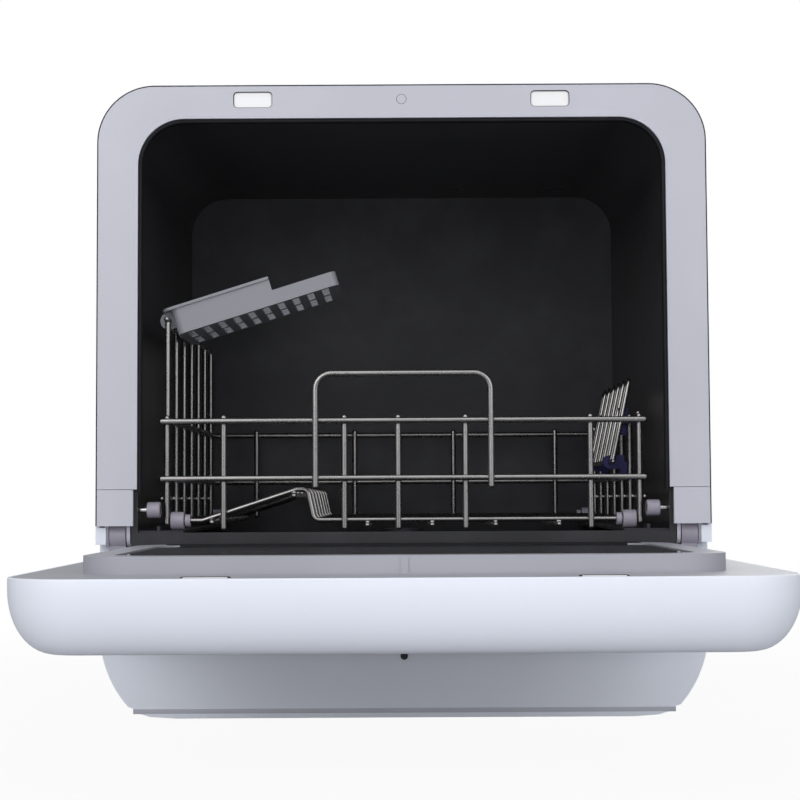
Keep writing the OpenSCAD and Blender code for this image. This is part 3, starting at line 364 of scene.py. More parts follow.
@dataclass(frozen=True)
class Lining(Finish):
    """Dark moulded lining: glossy, with faint ripples and dried drops."""

    roughness: float = 0.30

    def make(self) -> Material:
        """Builds the material.

        Returns:
            The lining, with a film of dried water and a few spots.
        """
        tree = MaterialTree(self.name)
        ripple = tree.noise(24.0, spot=tree.stretched((1.0, 0.5, 0.35)))
        drops = tree.cells(260.0, "SMOOTH_F1")
        film = tree.noise(14.0, detail=5.0, rough=0.65)
        spots = (1.0 - drops.above(0.12, 0.26)) * film.above(0.56, 0.72)
        colour = tree.mixed(film.above(0.35, 0.75), self.colour, self.shade(1.5))
        colour = tree.mixed(spots * 0.25, colour, self.shade(2.6))
        rough = film * 0.12 + spots * 0.08 + (self.roughness - 0.06)
        normal = tree.bump(ripple, 0.0008, 0.35, tree.bump(tree.noise(1500.0), 0.00002, 0.4))
        return tree.principled(colour, rough, normal, Specular_IOR_Level=0.25)


@dataclass(frozen=True)
class Rubber(Finish):
    """Soft black rubber with a dusty bloom."""

    roughness: float = 0.68

    def make(self) -> Material:
        """Builds the material.

        Returns:
            The rubber, paler and duller where it blooms.
        """
        tree = MaterialTree(self.name)
        bloom = tree.noise(60.0, detail=4.0, rough=0.6)
        fine = tree.noise(2400.0, rough=0.6)
        colour = tree.mixed(bloom.above(0.45, 0.75) * 0.5, self.colour, self.shade(2.0))
        rough = bloom * 0.16 + (self.roughness - 0.08)
        return tree.principled(colour, rough, tree.bump(fine, 0.00004, 0.6), Specular_IOR_Level=0.3)


@dataclass(frozen=True)
class DrawnSteel(Finish):
    """Satin drawn wire: grey, with a mottled polish."""

    roughness: float = 0.30

    def make(self) -> Material:
        """Builds the material.

        Returns:
            The steel, mottled and a little stained.
        """
        tree = MaterialTree(self.name)
        mottle = tree.noise(45.0, detail=3.0, rough=0.55)
        draw = tree.noise(900.0, detail=3.0, rough=0.6)
        stain = tree.noise(16.0, detail=3.0, rough=0.6)
        colour = tree.mixed(mottle.above(0.3, 0.7), self.shade(0.94), self.shade(1.05))
        colour = tree.mixed(stain.above(0.6, 0.85) * 0.2, colour, self.shade(0.7))
        rough = mottle * 0.08 + draw * 0.06 + (self.roughness - 0.07)
        return tree.principled(colour, rough, tree.bump(draw, 0.00002, 0.25), Metallic=1.0)


@dataclass(frozen=True)
class PlatedSheet(Finish):
    """Zinc plated sheet with its spangle."""

    roughness: float = 0.42

    def make(self) -> Material:
        """Builds the material.

        Returns:
            The sheet, each cell of its spangle in a tone of its own.
        """
        tree = MaterialTree(self.name)
        spangle = tree.cells(95.0, output="Color")
        tone = tree.out(tree.node("ShaderNodeSeparateColor", {}, {"Color": spangle}))
        rolled = tree.noise(500.0, detail=3.0, rough=0.6, spot=tree.stretched((0.05, 1.0, 1.0)))
        colour = tree.mixed(tone, self.shade(0.90), self.shade(1.08))
        rough = tone * 0.14 + rolled * 0.08 + (self.roughness - 0.11)
        return tree.principled(colour, rough, tree.bump(rolled, 0.00003, 0.4), Metallic=0.9)


@dataclass(frozen=True)
class SmokedGlass(Finish):
    """Dark tinted pane: nearly black, with a hard gloss and a soft smear of dried water."""

    def make(self) -> Material:
        """Builds the material.

        Returns:
            The glass, duller where it is smeared.
        """
        tree = MaterialTree(self.name)
        smear = tree.noise(20.0, detail=4.0, rough=0.6, spot=tree.stretched((1.0, 0.3, 1.0)))
        wave = tree.noise(9.0, detail=1.0)
        colour = tree.mixed(smear.above(0.4, 0.8), self.colour, self.shade(1.7))
        rough = smear.above(0.45, 0.8) * 0.10 + 0.05
        return tree.principled(colour, rough, tree.bump(wave, 0.0006, 0.15), Alpha=0.93,
                               Specular_IOR_Level=0.5, IOR=1.5)


@dataclass(frozen=True)
class Laminate(Finish):
    """Circuit board: lacquer over fine tracks."""

    track: Colour = (0.08, 0.34, 0.16)

    def make(self) -> Material:
        """Builds the material.

        Returns:
            The board, with its tracks and the weave under them.
        """
        tree = MaterialTree(self.name)
        grid = tree.cells(420.0, "DISTANCE_TO_EDGE", tree.stretched((1.0, 1.0, 0.2)))
        tracks = 1.0 - grid.above(0.03, 0.07)
        weave = tree.noise(1200.0, detail=1.0)
        colour = tree.mixed(tracks * 0.6, self.colour, self.track)
        colour = tree.mixed(weave.above(0.55, 0.7) * 0.12, colour, self.shade(0.6))
        return tree.principled(colour, tracks * -0.08 + 0.38, tree.bump(tracks, 0.00004, 0.6))


class Slot(Enum):
    """The material slots of the record, each with its finish."""

    PAINTED_WHITE = Coat("painted_white", (0.77, 0.80, 0.89))
    GREY_PLASTIC = Moulding("grey_plastic", (0.53, 0.535, 0.60), roughness=0.38)
    # Painted shade: the record's grey plastic made darker for the door's inner panel, whose ridge and lip
    # take less light than the frame
    LINER_PLASTIC = Moulding("grey_plastic", (0.375, 0.38, 0.425), roughness=0.40)
    BASE_PLASTIC = Moulding("base_plastic", (0.81, 0.84, 0.92), roughness=0.44)
    WHITE_PLASTIC = Moulding("white_plastic", (0.92, 0.92, 0.93), roughness=0.22, coat=0.3, drift=0.01)
    DARK_PLASTIC = Moulding("dark_plastic", (0.022, 0.022, 0.028), roughness=0.42, drift=0.12)
    TUB_LINING = Lining("tub_lining", (0.034, 0.034, 0.038))
    SEAL = Rubber("seal", (0.010, 0.010, 0.013))
    FOOT_RUBBER = Rubber("foot_rubber", (0.014, 0.014, 0.014), roughness=0.8)
    GALVANISED = PlatedSheet("galvanised", (0.55, 0.56, 0.58))
    STEEL = DrawnSteel("steel", (0.66, 0.66, 0.67), roughness=0.24)
    BASKET_WIRE = DrawnSteel("basket_wire", (0.385, 0.372, 0.367), roughness=0.28)
    WHEEL_PLASTIC = Moulding("wheel_plastic", (0.32, 0.30, 0.36), roughness=0.36)
    NAVY_PLASTIC = Moulding("navy_plastic", (0.024, 0.022, 0.095), roughness=0.38, specular=0.35)
    SHELF_PLASTIC = Moulding("shelf_plastic", (0.255, 0.26, 0.29), roughness=0.40)
    SMOKED_GLASS = SmokedGlass("smoked_glass", (0.012, 0.013, 0.016))
    CIRCUIT_BOARD = Laminate("circuit_board", (0.012, 0.12, 0.045))
    PUMP_PLASTIC = Moulding("pump_plastic", (0.075, 0.08, 0.09), roughness=0.5)
    TANK_PLASTIC = Moulding("tank_plastic", (0.62, 0.67, 0.72), roughness=0.34)


class Palette:
    """Makes each material once and hands it out."""

    def __init__(self) -> None:
        """Starts with no material made."""
        self._made: dict[Slot, Material] = {}

    def get(self, slot: Slot) -> Material:
        """Gives a slot's material.

        Args:
            slot: the slot.

        Returns:
            The material, made on the first call.
        """
        if slot not in self._made:
            self._made[slot] = slot.value.make()
        return self._made[slot]

    def of_node(self, node: str) -> Slot:
        """Gives the slot that the record names for a CAD node."""
        name = next(s["material_slot"] for s in frame["record"]["subparts"] if s["node"] == node)
        return next(s for s in Slot if s.value.name == name)


# Geometry trees


class GeometryTree(NodeTree):
    """A Geometry Nodes tree with named inputs."""

    def __init__(self, name: str) -> None:
        """Makes a tree with one geometry input and output.

        Args:
            name: the tree's name.
        """
        self.group = bpy.data.node_groups.new(name, "GeometryNodeTree")
        super().__init__(self.group)
        self.group.interface.new_socket("Geometry", in_out="OUTPUT", socket_type="NodeSocketGeometry")
        self.identifiers: dict[str, str] = {}
        self.pending: list[tuple[NodeSocket, str]] = []
        self._input("Geometry", "NodeSocketGeometry", None)

    def number(self, name: str, value: float) -> str:
        """Adds a named number input and gives its name."""
        return self._input(name, "NodeSocketFloat", value)

    def whole(self, name: str, value: int) -> str:
        """Adds a named whole number input and gives its name."""
        return self._input(name, "NodeSocketInt", value)

    def _input(self, name: str, kind: str, value: object) -> str:
        """Adds one input to the tree's interface.

        Args:
            name: the input's name.
            kind: the type of its socket.
            value: its default, or none.

        Returns:
            The name.
        """
        socket = self.group.interface.new_socket(name, in_out="INPUT", socket_type=kind)
        if value is not None:
            socket.default_value = value
        self.identifiers[name] = socket.identifier
        return name

    def feed(self, socket: NodeSocket, item: object) -> None:
        """Feeds an input socket, or keeps it for the tree input that is named.

        Args:
            socket: the input socket.
            item: the name of a tree input, or what any tree's socket takes.
        """
        if isinstance(item, str) and item in self.identifiers:
            self.pending.append((socket, item))
        else:
            super().feed(socket, item)

    def finish(self, shape: Node, smooth: bool = True) -> "GeometryTree":
        """Ends the tree: real instances, shading and the material.

        Args:
            shape: the node that gives the geometry made so far.
            smooth: whether the faces are shaded smooth.

        Returns:
            The tree itself.
        """
        self._input("Material", "NodeSocketMaterial", None)
        real = self.node("GeometryNodeRealizeInstances", {}, {"Geometry": shape})
        shaded = self.node("GeometryNodeSetShadeSmooth", {}, {"Geometry": real, "Shade Smooth": smooth})
        dressed = self.node("GeometryNodeSetMaterial", {}, {"Geometry": shaded, "Material": "Material"})
        self.node("NodeGroupOutput", {}, {0: dressed})
        entry = self.node("NodeGroupInput")
        for socket, name in self.pending:
            self.links.new(entry.outputs[name], socket)
        return self

    def apply(self, name: str, base: Mesh, material: Material, **values: float) -> Object:
        """Runs the tree on a mesh and keeps the result as a plain mesh.

        Args:
            name: the new piece's name.
            base: the mesh of points or lines that the tree starts from.
            material: what the piece is made of.
            **values: the tree's inputs, with underscores for spaces.

        Returns:
            The new piece, in the scene, with no modifier.
        """
        carrier = add_piece(name + "_base", base)
        modifier = carrier.modifiers.new("shape", "NODES")
        modifier.node_group = self.group
        modifier[self.identifiers["Material"]] = material
        for key, value in values.items():
            modifier[self.identifiers[key.replace("_", " ")]] = value
        mesh = evaluated_mesh(carrier)
        carrier.modifiers.remove(modifier)
        bpy.data.objects.remove(carrier)
        return add_piece(name, mesh)


def wire_tree() -> GeometryTree:
    """Builds the tree that turns lines into bent wires with round ends.

    Returns:
        The tree, with its radius, bend and side counts as inputs.
    """
    tree = GeometryTree("bent_wire")
    radius = tree.number("Wire radius", 0.002)
    bend = tree.number("Bend radius", 0.005)
    sides = tree.whole("Sides", 14)
    steps = tree.whole("Bend steps", 6)
    line = tree.node("GeometryNodeMeshToCurve", {}, {"Mesh": "Geometry"})
    rounded = tree.node("GeometryNodeFilletCurve", {"mode": "POLY"},
                        {"Curve": line, "Radius": bend, "Count": steps, "Limit Radius": True})
    section = tree.node("GeometryNodeCurvePrimitiveCircle", {}, {"Resolution": sides, "Radius": radius})
    swept = tree.node("GeometryNodeCurveToMesh", {},
                      {"Curve": rounded, "Profile Curve": section, "Fill Caps": True})
    ends = tree.node("GeometryNodeCurveEndpointSelection")
    ball = tree.node("GeometryNodeMeshUVSphere", {}, {"Segments": 14, "Rings": 8, "Radius": radius})
    tips = tree.node("GeometryNodeInstanceOnPoints", {},
                     {"Points": line, "Selection": ends, "Instance": ball})
    return tree.finish(tree.node("GeometryNodeJoinGeometry", {}, {"Geometry": [swept, tips]}))


def bead_tree() -> GeometryTree:
    """Builds the tree that puts a weld bead on every point.

    Returns:
        The tree, with the bead's size, its spread and a seed as inputs.
    """
    tree = GeometryTree("weld_bead")
    size = tree.number("Bead size", 0.0024)
    spread = tree.number("Spread", 0.12)
    seed = tree.whole("Seed", 7)
    ball = tree.node("GeometryNodeMeshIcoSphere", {}, {"Subdivisions": 2, "Radius": size})
    more = tree.node("ShaderNodeMath", {"operation": "ADD"}, {0: 1.0, 1: spread})
    less = tree.node("ShaderNodeMath", {"operation": "SUBTRACT"}, {0: 1.0, 1: spread})
    scale = tree.node("FunctionNodeRandomValue", {"data_type": "FLOAT_VECTOR"},
                      {"Seed": seed, "Min": less, "Max": more})
    return tree.finish(tree.node("GeometryNodeInstanceOnPoints", {},
                                 {"Points": "Geometry", "Instance": ball, "Scale": scale}))


def strip_tree() -> GeometryTree:
    """Builds the tree that sweeps a soft-cornered strip along lines.

    Returns:
        The tree, with the strip's width, height and corner radius as inputs.
    """
    tree = GeometryTree("swept_strip")
    width = tree.number("Strip width", 0.002)
    height = tree.number("Strip height", 0.004)
    corner = tree.number("Corner radius", 0.0006)
    line = tree.node("GeometryNodeMeshToCurve", {}, {"Mesh": "Geometry"})
    normal = tree.node("GeometryNodeSetCurveNormal", {"mode": "MINIMUM_TWIST"}, {"Curve": line})
    section = tree.node("GeometryNodeCurvePrimitiveQuadrilateral", {}, {"Width": width, "Height": height})
    soft = tree.node("GeometryNodeFilletCurve", {"mode": "POLY"},
                     {"Curve": section, "Radius": corner, "Count": 3, "Limit Radius": True})
    return tree.finish(tree.node("GeometryNodeCurveToMesh", {},
                                 {"Curve": normal, "Profile Curve": soft, "Fill Caps": True}))


def stud_tree() -> GeometryTree:
    """Builds the tree that stands a small round stud on every point, along the point's normal.

    The normal of a lone point, as here, is its direction from the origin, so the studs lean.

    Returns:
        The tree, with the stud's radius, height and side count as inputs.
    """
    tree = GeometryTree("round_stud")
    radius = tree.number("Stud radius", 0.003)
    height = tree.number("Stud height", 0.0006)
    sides = tree.whole("Sides", 28)
    body = tree.node("GeometryNodeMeshCylinder", {}, {"Vertices": sides, "Radius": radius, "Depth": height})
    turned = tree.node("FunctionNodeAlignRotationToVector", {"axis": "Z"},
                       {"Vector": tree.node("GeometryNodeInputNormal")})
    studs = tree.node("GeometryNodeInstanceOnPoints", {},
                      {"Points": "Geometry", "Instance": body, "Rotation": turned})
    return tree.finish(studs, smooth=False)


# Mesh helpers


def add_piece(name: str, mesh: Mesh) -> Object:
    """Puts a mesh in the scene as a piece that sits at the origin.

    Args:
        name: the name of the piece and its mesh.
        mesh: the mesh.

    Returns:
        The piece.
    """
    mesh.name = name
    piece = bpy.data.objects.new(name, mesh)
    bpy.context.scene.collection.objects.link(piece)
    return piece


def evaluated_mesh(piece: Object) -> Mesh:
    """Gives a new plain mesh of a piece with its modifiers applied."""
    graph = bpy.context.evaluated_depsgraph_get()
    return bpy.data.meshes.new_from_object(piece.evaluated_get(graph), depsgraph=graph)


def line_mesh(lines: Iterable[Sequence[Vector]], closed: bool = False) -> Mesh:
    """Makes a mesh of edges.

    Args:
        lines: each a row of points in metres. A row of one is a lone point.
        closed: whether each line returns to its start.

    Returns:
        The mesh.
    """
    points: list[Vector] = []
    edges: list[tuple[int, int]] = []
    for line in lines:
        start = len(points)
        points.extend(line)
        edges.extend((start + i, start + i + 1) for i in range(len(line) - 1))
        if closed:
            edges.append((start + len(line) - 1, start))
    mesh = bpy.data.meshes.new("lines")
    mesh.from_pydata([tuple(p) for p in points], edges, [])
    return mesh


def soft_copy(node: str, width: float, segments: int) -> Object:
    """Copies a CAD node, merges its faces and rounds its sharp edges.

    Args:
        node: the CAD node.
        width: width of the rounded edge, in millimetres.
        segments: faces across that edge.

    Returns:
        The new piece.
    """
    mesh = frame["nodes"][node].data.copy()
    for layer in ("custom_normal", "sharp_edge", "sharp_face"):
        if layer in mesh.attributes:
            mesh.attributes.remove(mesh.attributes[layer])
    shape = bmesh.new()
    shape.from_mesh(mesh)
    bmesh.ops.remove_doubles(shape, verts=shape.verts, dist=SAME_POINT)
    bmesh.ops.dissolve_limit(shape, angle_limit=math.radians(FLAT_EDGE), verts=shape.verts,
                             edges=shape.edges)
    shape.to_mesh(mesh)
    shape.free()
    piece = add_piece(node + ".soft", mesh)
    edge = piece.modifiers.new("edge", "BEVEL")
    edge.width = width * MM
    edge.segments = segments
    edge.limit_method = "ANGLE"
    edge.angle_limit = math.radians(SHARP_EDGE)
    edge.use_clamp_overlap = True
    piece.modifiers.new("shading", "WEIGHTED_NORMAL").keep_sharp = True
    mesh.shade_smooth()
    made = evaluated_mesh(piece)
    piece.modifiers.clear()
    piece.data = made
    bpy.data.meshes.remove(mesh)
    made.name = piece.name
    return piece


def bridge(shape: BMesh, low: list, high: list) -> None:
    """Fills the band between two closed rings of as many points.

    Args:
        shape: the shape that holds them.
        low: points of one ring.
        high: points of the other.
    """
    for i, (under, over) in enumerate(zip(low, high)):
        after = (i + 1) % len(low)
        shape.faces.new((under, low[after], high[after], over))


def close_shape(shape: BMesh, name: str, crisp: float) -> Object:
    """Turns the faces of a closed shape outwards and makes it a piece.

    Args:
        shape: the shape, which is freed.
        name: the name of the piece.
        crisp: degrees past which an edge stays crisp.

    Returns:
        The piece.
    """
    bmesh.ops.recalc_face_normals(shape, faces=shape.faces)
    mesh = bpy.data.meshes.new(name)
    shape.to_mesh(mesh)
    shape.free()
    mesh.shade_smooth()
    mesh.set_sharp_from_angle(angle=math.radians(crisp))
    return add_piece(name, mesh)


@dataclass(frozen=True)
class Outline:
    """A rectangle with round corners, in millimetres, seen from above, or from the front for a catch."""

    half: float
    y0: float
    y1: float
    front_corner: float
    rear_corner: float

    def points(self, inset: float, steps: int) -> list[Pair]:
        """Gives the closed outline, set in from its edge.

        Args:
            inset: how far it is set in.
            steps: faces round each corner.

        Returns:
            Pairs of its two directions, anticlockwise from the front right corner.
        """
        half, r0, r1 = self.half, self.front_corner, self.rear_corner
        centres = [(half - r0, self.y0 + r0, r0, -90), (half - r1, self.y1 - r1, r1, 0),
                   (-half + r1, self.y1 - r1, r1, 90), (-half + r0, self.y0 + r0, r0, 180)]
        points = []
        for cx, cy, radius, start in centres:
            reach = max(radius - inset, LEAST_REACH)
            for i in range(steps + 1):
                angle = math.radians(start + 90 * i / steps)
                points.append((cx + reach * math.cos(angle), cy + reach * math.sin(angle)))
        return points

    def plates(self, name: str, middles: Sequence[float], low: float, high: float,
               chamfer: float = 0.12) -> Object:
        """Builds flat plates of this outline with a small chamfer round the top.

        Args:
            name: the name of the piece.
            middles: the middle of each plate in X.
            low: underside.
            high: top face.
            chamfer: width of the chamfer.

        Returns:
            The piece, with all the plates in one mesh.
        """
        shape = bmesh.new()
        for middle in middles:
            rings = []
            for inset, z in ((0.0, low), (0.0, high - chamfer), (chamfer, high)):
                ring = self.points(inset, steps=8)
                rings.append([shape.verts.new(place(middle + x, y, z)) for x, y in ring])
            for under, over in zip(rings, rings[1:]):
                bridge(shape, under, over)
            shape.faces.new(rings[0][::-1])
            shape.faces.new(rings[-1])
        return close_shape(shape, name, crisp=30)


@dataclass(frozen=True)
class Arch:
    """A line up the left side, over the top and down the right side, in millimetres."""

    half: float
    foot: float
    top: float
    corner: float
    y: float

    def line(self, steps: int = 24) -> list[Vector]:
        """Gives the line.

        Args:
            steps: pieces of each corner.

        Returns:
            Points in metres, from the left foot to the right one.
        """
        line = [place(-self.half, self.y, self.foot)]
        for cx, start in ((-self.half + self.corner, 180.0), (self.half - self.corner, 90.0)):
            for i in range(steps + 1):
                angle = math.radians(start - 90.0 * i / steps)
                line.append(place(cx + self.corner * math.cos(angle), self.y,
                                  self.top - self.corner + self.corner * math.sin(angle)))
        line.append(place(self.half, self.y, self.foot))
        return line


class Section(Enum):
    """Sections of the swept strips: width, height and corner radius in millimetres."""

    FRAME_SEAM = (0.8, 0.8, 0.2)
    CATCH_SEAM = (0.9, 0.9, 0.2)
    SWITCH_SEAM = (0.6, 0.8, 0.2)
    BASE_GROOVE = (1.0, 3.4, 0.3)
    GASKET_LIP = (2.4, 6.6, 1.1)
    STRIKER_SEAM = (0.9, 0.7, 0.2)
    TOUCH_MARK = (0.5, 0.4, 0.1)


# Sub-assemblies


@dataclass(frozen=True)
class Workshop:
    """What every sub-assembly is made with: the finishes and the four geometry trees."""

    palette: Palette
    wire: GeometryTree
    bead: GeometryTree
    strip: GeometryTree
    stud: GeometryTree


@dataclass
class Assembly:
    """What every sub-assembly can do: dress CAD nodes and add pieces to its body.

    The sizes of a sub-assembly are in millimetres, at rest, with the door open.
    """

    shop: Workshop
    body: str

    def dress(self, *nodes: str) -> None:
        """Gives CAD nodes the material of their slot.

        Args:
            *nodes: the names of the nodes.
        """
        for node in nodes:
            material = self.shop.palette.get(self.shop.palette.of_node(node))
            slots = frame["nodes"][node].material_slots
            if not slots:
                frame["nodes"][node].data.materials.append(material)
            for slot in slots:
                slot.material = material
            LOG.info("%s dressed", node)

    def mount(self, piece: Object, slot: Slot, *replaced: str, body: str = "") -> None:
        """Lets a piece ride on a body, in a slot's finish.

        Args:
            piece: the finished piece.
            slot: what it is made of.
            *replaced: CAD nodes that it stands for.
            body: the CAD body that carries it, or none for the assembly's own.
        """
        body = body or self.body
        piece.data.materials.clear()
        piece.data.materials.append(self.shop.palette.get(slot))
        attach(piece, body)
        if replaced:
            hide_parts(*replaced)
        LOG.info("%s on %s, %d faces", piece.name, body, len(piece.data.polygons))

    def soften(self, node: str, width: float, segments: int = 2, slot: Slot | None = None,
               body: str = "") -> None:
        """Replaces a CAD node with a copy whose edges are rounded.

        Args:
            node: the CAD node.
            width: width of the rounded edge, in millimetres.
            segments: faces across that edge.
            slot: its finish, or none for the record's.
            body: the CAD body that carries it, or none for the assembly's own.
        """
        self.mount(soft_copy(node, width, segments), slot or self.shop.palette.of_node(node), node, body=body)

    def sweep(self, name: str, lines: list[list[Vector]], section: Section, slot: Slot, *replaced: str,
              closed: bool = False) -> None:
        """Builds a strip along lines.

        Args:
            name: the name of the piece.
            lines: rows of points in metres.
            section: the strip's section.
            slot: what it is made of.
            *replaced: CAD nodes that it stands for.
            closed: whether each line returns to its start.
        """
        width, height, corner = section.value
        piece = self.shop.strip.apply(name, line_mesh(lines, closed), self.shop.palette.get(slot),
                                      Strip_width=width * MM, Strip_height=height * MM,
                                      Corner_radius=corner * MM)
        self.mount(piece, slot, *replaced)


@dataclass
class Cabinet(Assembly):
    """The cabinet: shell, frame, tub, base and what is under them."""

    body: str = "cabinet"
    rim: Arch = Arch(209.0, 134.6, 437.0, 39.0, 0.25)
    lip: Arch = Arch(180.0, 158.0, 412.9, 30.7, 4.6)
    toe: Point = (186.4, 22.3, 6.9)
    toe_back: float = 392.0
    seam_y: float = 0.5
    catch: Outline = Outline(13.45, -5.65, 5.65, 3.0, 3.0)
    catch_x: float = 102.4
    catch_z: float = 427.2
    catch_gap: float = 0.1
    switch_r: float = 3.35

    def build(self) -> None:
        """Builds and dresses the cabinet."""
        self.dress("rear_screws", "status_lens", "door_switch", "hinge_pins", "tub", "basket_rails",
                   "roller_axles", "guide_roller_left", "guide_roller_right", "base_pan", "filter_plate",
                   "spray_hub", "heater", "main_board", "cable_gland", "door_switch_plunger", "feet",
                   "sump", "drain_spigot", "wash_pipe", "rear_panel", "inlet_valve", "fill_cap", "filter_cup")
        for node, width in (("outer_shell", 0.7), ("front_frame", 0.5), ("base_plinth", 0.8),
                            ("hinge_blocks", 0.5), ("catch_magnets", 0.8), ("fill_neck", 0.4),
                            ("wash_pump", 1.2), ("drain_pump", 1.2), ("water_tank", 3.0)):
            self.soften(node, width)
        self.soften("spray_arm", 1.4, 3, body="sprayer")
        self.seams()
        self.sweep("gasket_lip", [self.lip.line()], Section.GASKET_LIP, Slot.SEAL, "tub_gasket")

    def seams(self) -> None:
        """Builds dark strips in the seal's rubber that paint the shade in the gaps round the frame, its
        catches and the switch, and a grey strip that paints the shade in the groove of the base.
        """
        # Painted shade: black strips stand for the shadow in the gaps between the frame and the shell, round
        # the catches and round the switch.
        self.sweep("frame_seam", [self.rim.line()], Section.FRAME_SEAM, Slot.SEAL)
        outline = self.catch.points(-self.catch_gap, steps=8)
        slots = [[place(side * self.catch_x + x, self.seam_y, self.catch_z + z) for x, z in outline]
                 for side in SIDES]
        self.sweep("catch_seams", slots, Section.CATCH_SEAM, Slot.SEAL, closed=True)
        plunger = [place(x, self.seam_y, z) for x, z in circle(self.switch_r, 0.0, self.catch_z, count=36)]
        self.sweep("switch_seam", [plunger], Section.SWITCH_SEAM, Slot.SEAL, closed=True)
        # Painted shade: a strip of the darker grey plastic round the base's foot stands for its recessed
        # groove in shadow.
        x, y, z = self.toe
        back = self.toe_back
        groove = [place(-x, back, z), place(-x, y, z), place(x, y, z), place(x, back, z)]
        self.sweep("base_groove", [groove], Section.BASE_GROOVE, Slot.GREY_PLASTIC)


@dataclass
class Door(Assembly):
    """The drop-down door with its window and its control strip."""

    body: str = "door"
    shell: Outline = Outline(210.0, -294.5, 20.2, 40.0, 26.0)
    window: Outline = Outline(146.0, -213.5, -51.8, 14.0, 14.0)
    panel: Outline = Outline(100.0, -29.8, -7.8, 6.0, 6.0)
    outer_z: float = 71.8
    thick: float = 40.5
    wall: float = 2.5
    round_w: float = 24.0
    round_h: float = 34.0
    rim: tuple[Pair, ...] = ((0.0, -0.9), (0.12, -0.42), (0.42, -0.12), (0.9, 0.0),
                             (1.8, 0.0), (2.1, -0.1), (2.2, -0.4), (2.2, -6.0))
    sill: Outline = Outline(159.0, -27.8, 0.2, 12.0, 12.0)
    sill_z: Pair = (121.5, 122.3)
    striker: Outline = Outline(11.6, -288.8, -280.6, 2.0, 2.0)
    striker_gap: Outline = Outline(12.2, -288.5, -279.9, 2.4, 2.4)
    striker_x: float = 102.4
    striker_z: Pair = (111.5, 112.58)
    gap_z: float = 112.45
    gap_front: float = -287.3
    display: Outline = Outline(21.0, -25.8, -11.8, 2.0, 2.0)
    mark_z: float = 72.16
    mark_r: float = 4.6
    marks: tuple[float, ...] = (-78, -58, -38, 38, 58, 78)
    lamp_y: float = 7.6
    lamp_r: float = 0.9
    lamp_thick: float = 0.6

    def profile(self, steps: int = 14) -> list[Pair]:
        """Gives the section of the shell.

        Args:
            steps: pieces of each rounding.

        Returns:
            Pairs of inset and height, from the outer face over the rim to the inner face.
        """
        w, h = self.round_w, self.round_h
        angles = [math.radians(90 * i / steps) for i in range(steps + 1)]
        outer = [(w * (1 - math.cos(a)), h * (1 - math.sin(a))) for a in reversed(angles)]
        rim = [(inset, self.thick + drop) for inset, drop in self.rim]
        inner = [(w - (w - self.wall) * math.cos(a), h - (h - self.wall) * math.sin(a)) for a in angles]
        return outer + rim + inner

    def build_shell(self) -> Object:
        """Builds the white outer shell as one closed skin.

        Returns:
            The piece.
        """
        shape = bmesh.new()
        rings = []
        for inset, height in self.profile():
            z = self.outer_z + height
            rings.append([shape.verts.new(place(x, y, z)) for x, y in self.shell.points(inset, steps=20)])
        for low, high in zip(rings, rings[1:]):
            bridge(shape, low, high)
        holes = []
        for ring, height in ((rings[0], 0.0), (rings[-1], self.wall)):
            loops = [ring]
            for hole in (self.window, self.panel):
                z = self.outer_z + height
                loops.append([shape.verts.new(place(x, y, z)) for x, y in hole.points(0.0, steps=10)])
            edges = []
            for loop in loops:
                for a, b in zip(loop, loop[1:] + loop[:1]):
                    edges.append(shape.edges.get((a, b)) or shape.edges.new((a, b)))
            bmesh.ops.triangle_fill(shape, use_beauty=True, use_dissolve=False, edges=edges)
            holes.append(loops[1:])
        for low, high in zip(*holes):
            bridge(shape, low, high)
        return close_shape(shape, "door_shell", crisp=38)

    def build(self) -> None:
        """Builds and dresses the door."""
        self.dress("display_board", "window_outer_pane")
        self.mount(self.build_shell(), Slot.PAINTED_WHITE, "door_outer_shell")
        for node, width in (("hinge_arms", 0.8), ("catch_strikers", 0.5), ("control_panel", 0.3),
                            ("window_inner_pane", 0.5)):
            self.soften(node, width)
        # The inner panel takes the darker copy of the grey plastic: painted shade.
        self.soften("door_inner_panel", 1.1, slot=Slot.LINER_PLASTIC)
        self.catches()
        self.mount(self.sill.plates("sill_seal", (0.0,), *self.sill_z), Slot.SEAL)
        self.controls()

    def catches(self) -> None:
        """Builds the white faces of the striker plates, each with a dark strip on three sides that paints the
        shade of its gap.
        """
        middles = [side * self.striker_x for side in SIDES]
        self.mount(self.striker.plates("striker_faces", middles, *self.striker_z), Slot.WHITE_PLASTIC)
        # Painted shade: black strips stand for the shadow in the gap round each plate.
        arc = [(x, y) for x, y in self.striker_gap.points(0.0, steps=8) if y > self.gap_front]
        gaps = [[place(middle + x, y, self.gap_z) for x, y in arc] for middle in middles]
        self.sweep("striker_seams", gaps, Section.STRIKER_SEAM, Slot.SEAL)

    def controls(self) -> None:
        """Builds the unlettered touch marks and lamps of the control strip."""
        middle = (self.panel.y0 + self.panel.y1) / 2
        outlines = [circle(self.mark_r, x, middle, count=32) for x in self.marks]
        outlines.append(self.display.points(0.0, steps=6))
        rings = [[place(x, y, self.mark_z) for x, y in outline] for outline in outlines]
        self.sweep("touch_marks", rings, Section.TOUCH_MARK, Slot.WHITE_PLASTIC, closed=True)
        lamps = line_mesh([[place(x, middle + self.lamp_y, self.mark_z)] for x in self.marks])
        dots = self.shop.stud.apply("lamp_dots", lamps, self.shop.palette.get(Slot.WHITE_PLASTIC),
                                    Stud_radius=self.lamp_r * MM, Stud_height=self.lamp_thick * MM)
        self.mount(dots, Slot.WHITE_PLASTIC)


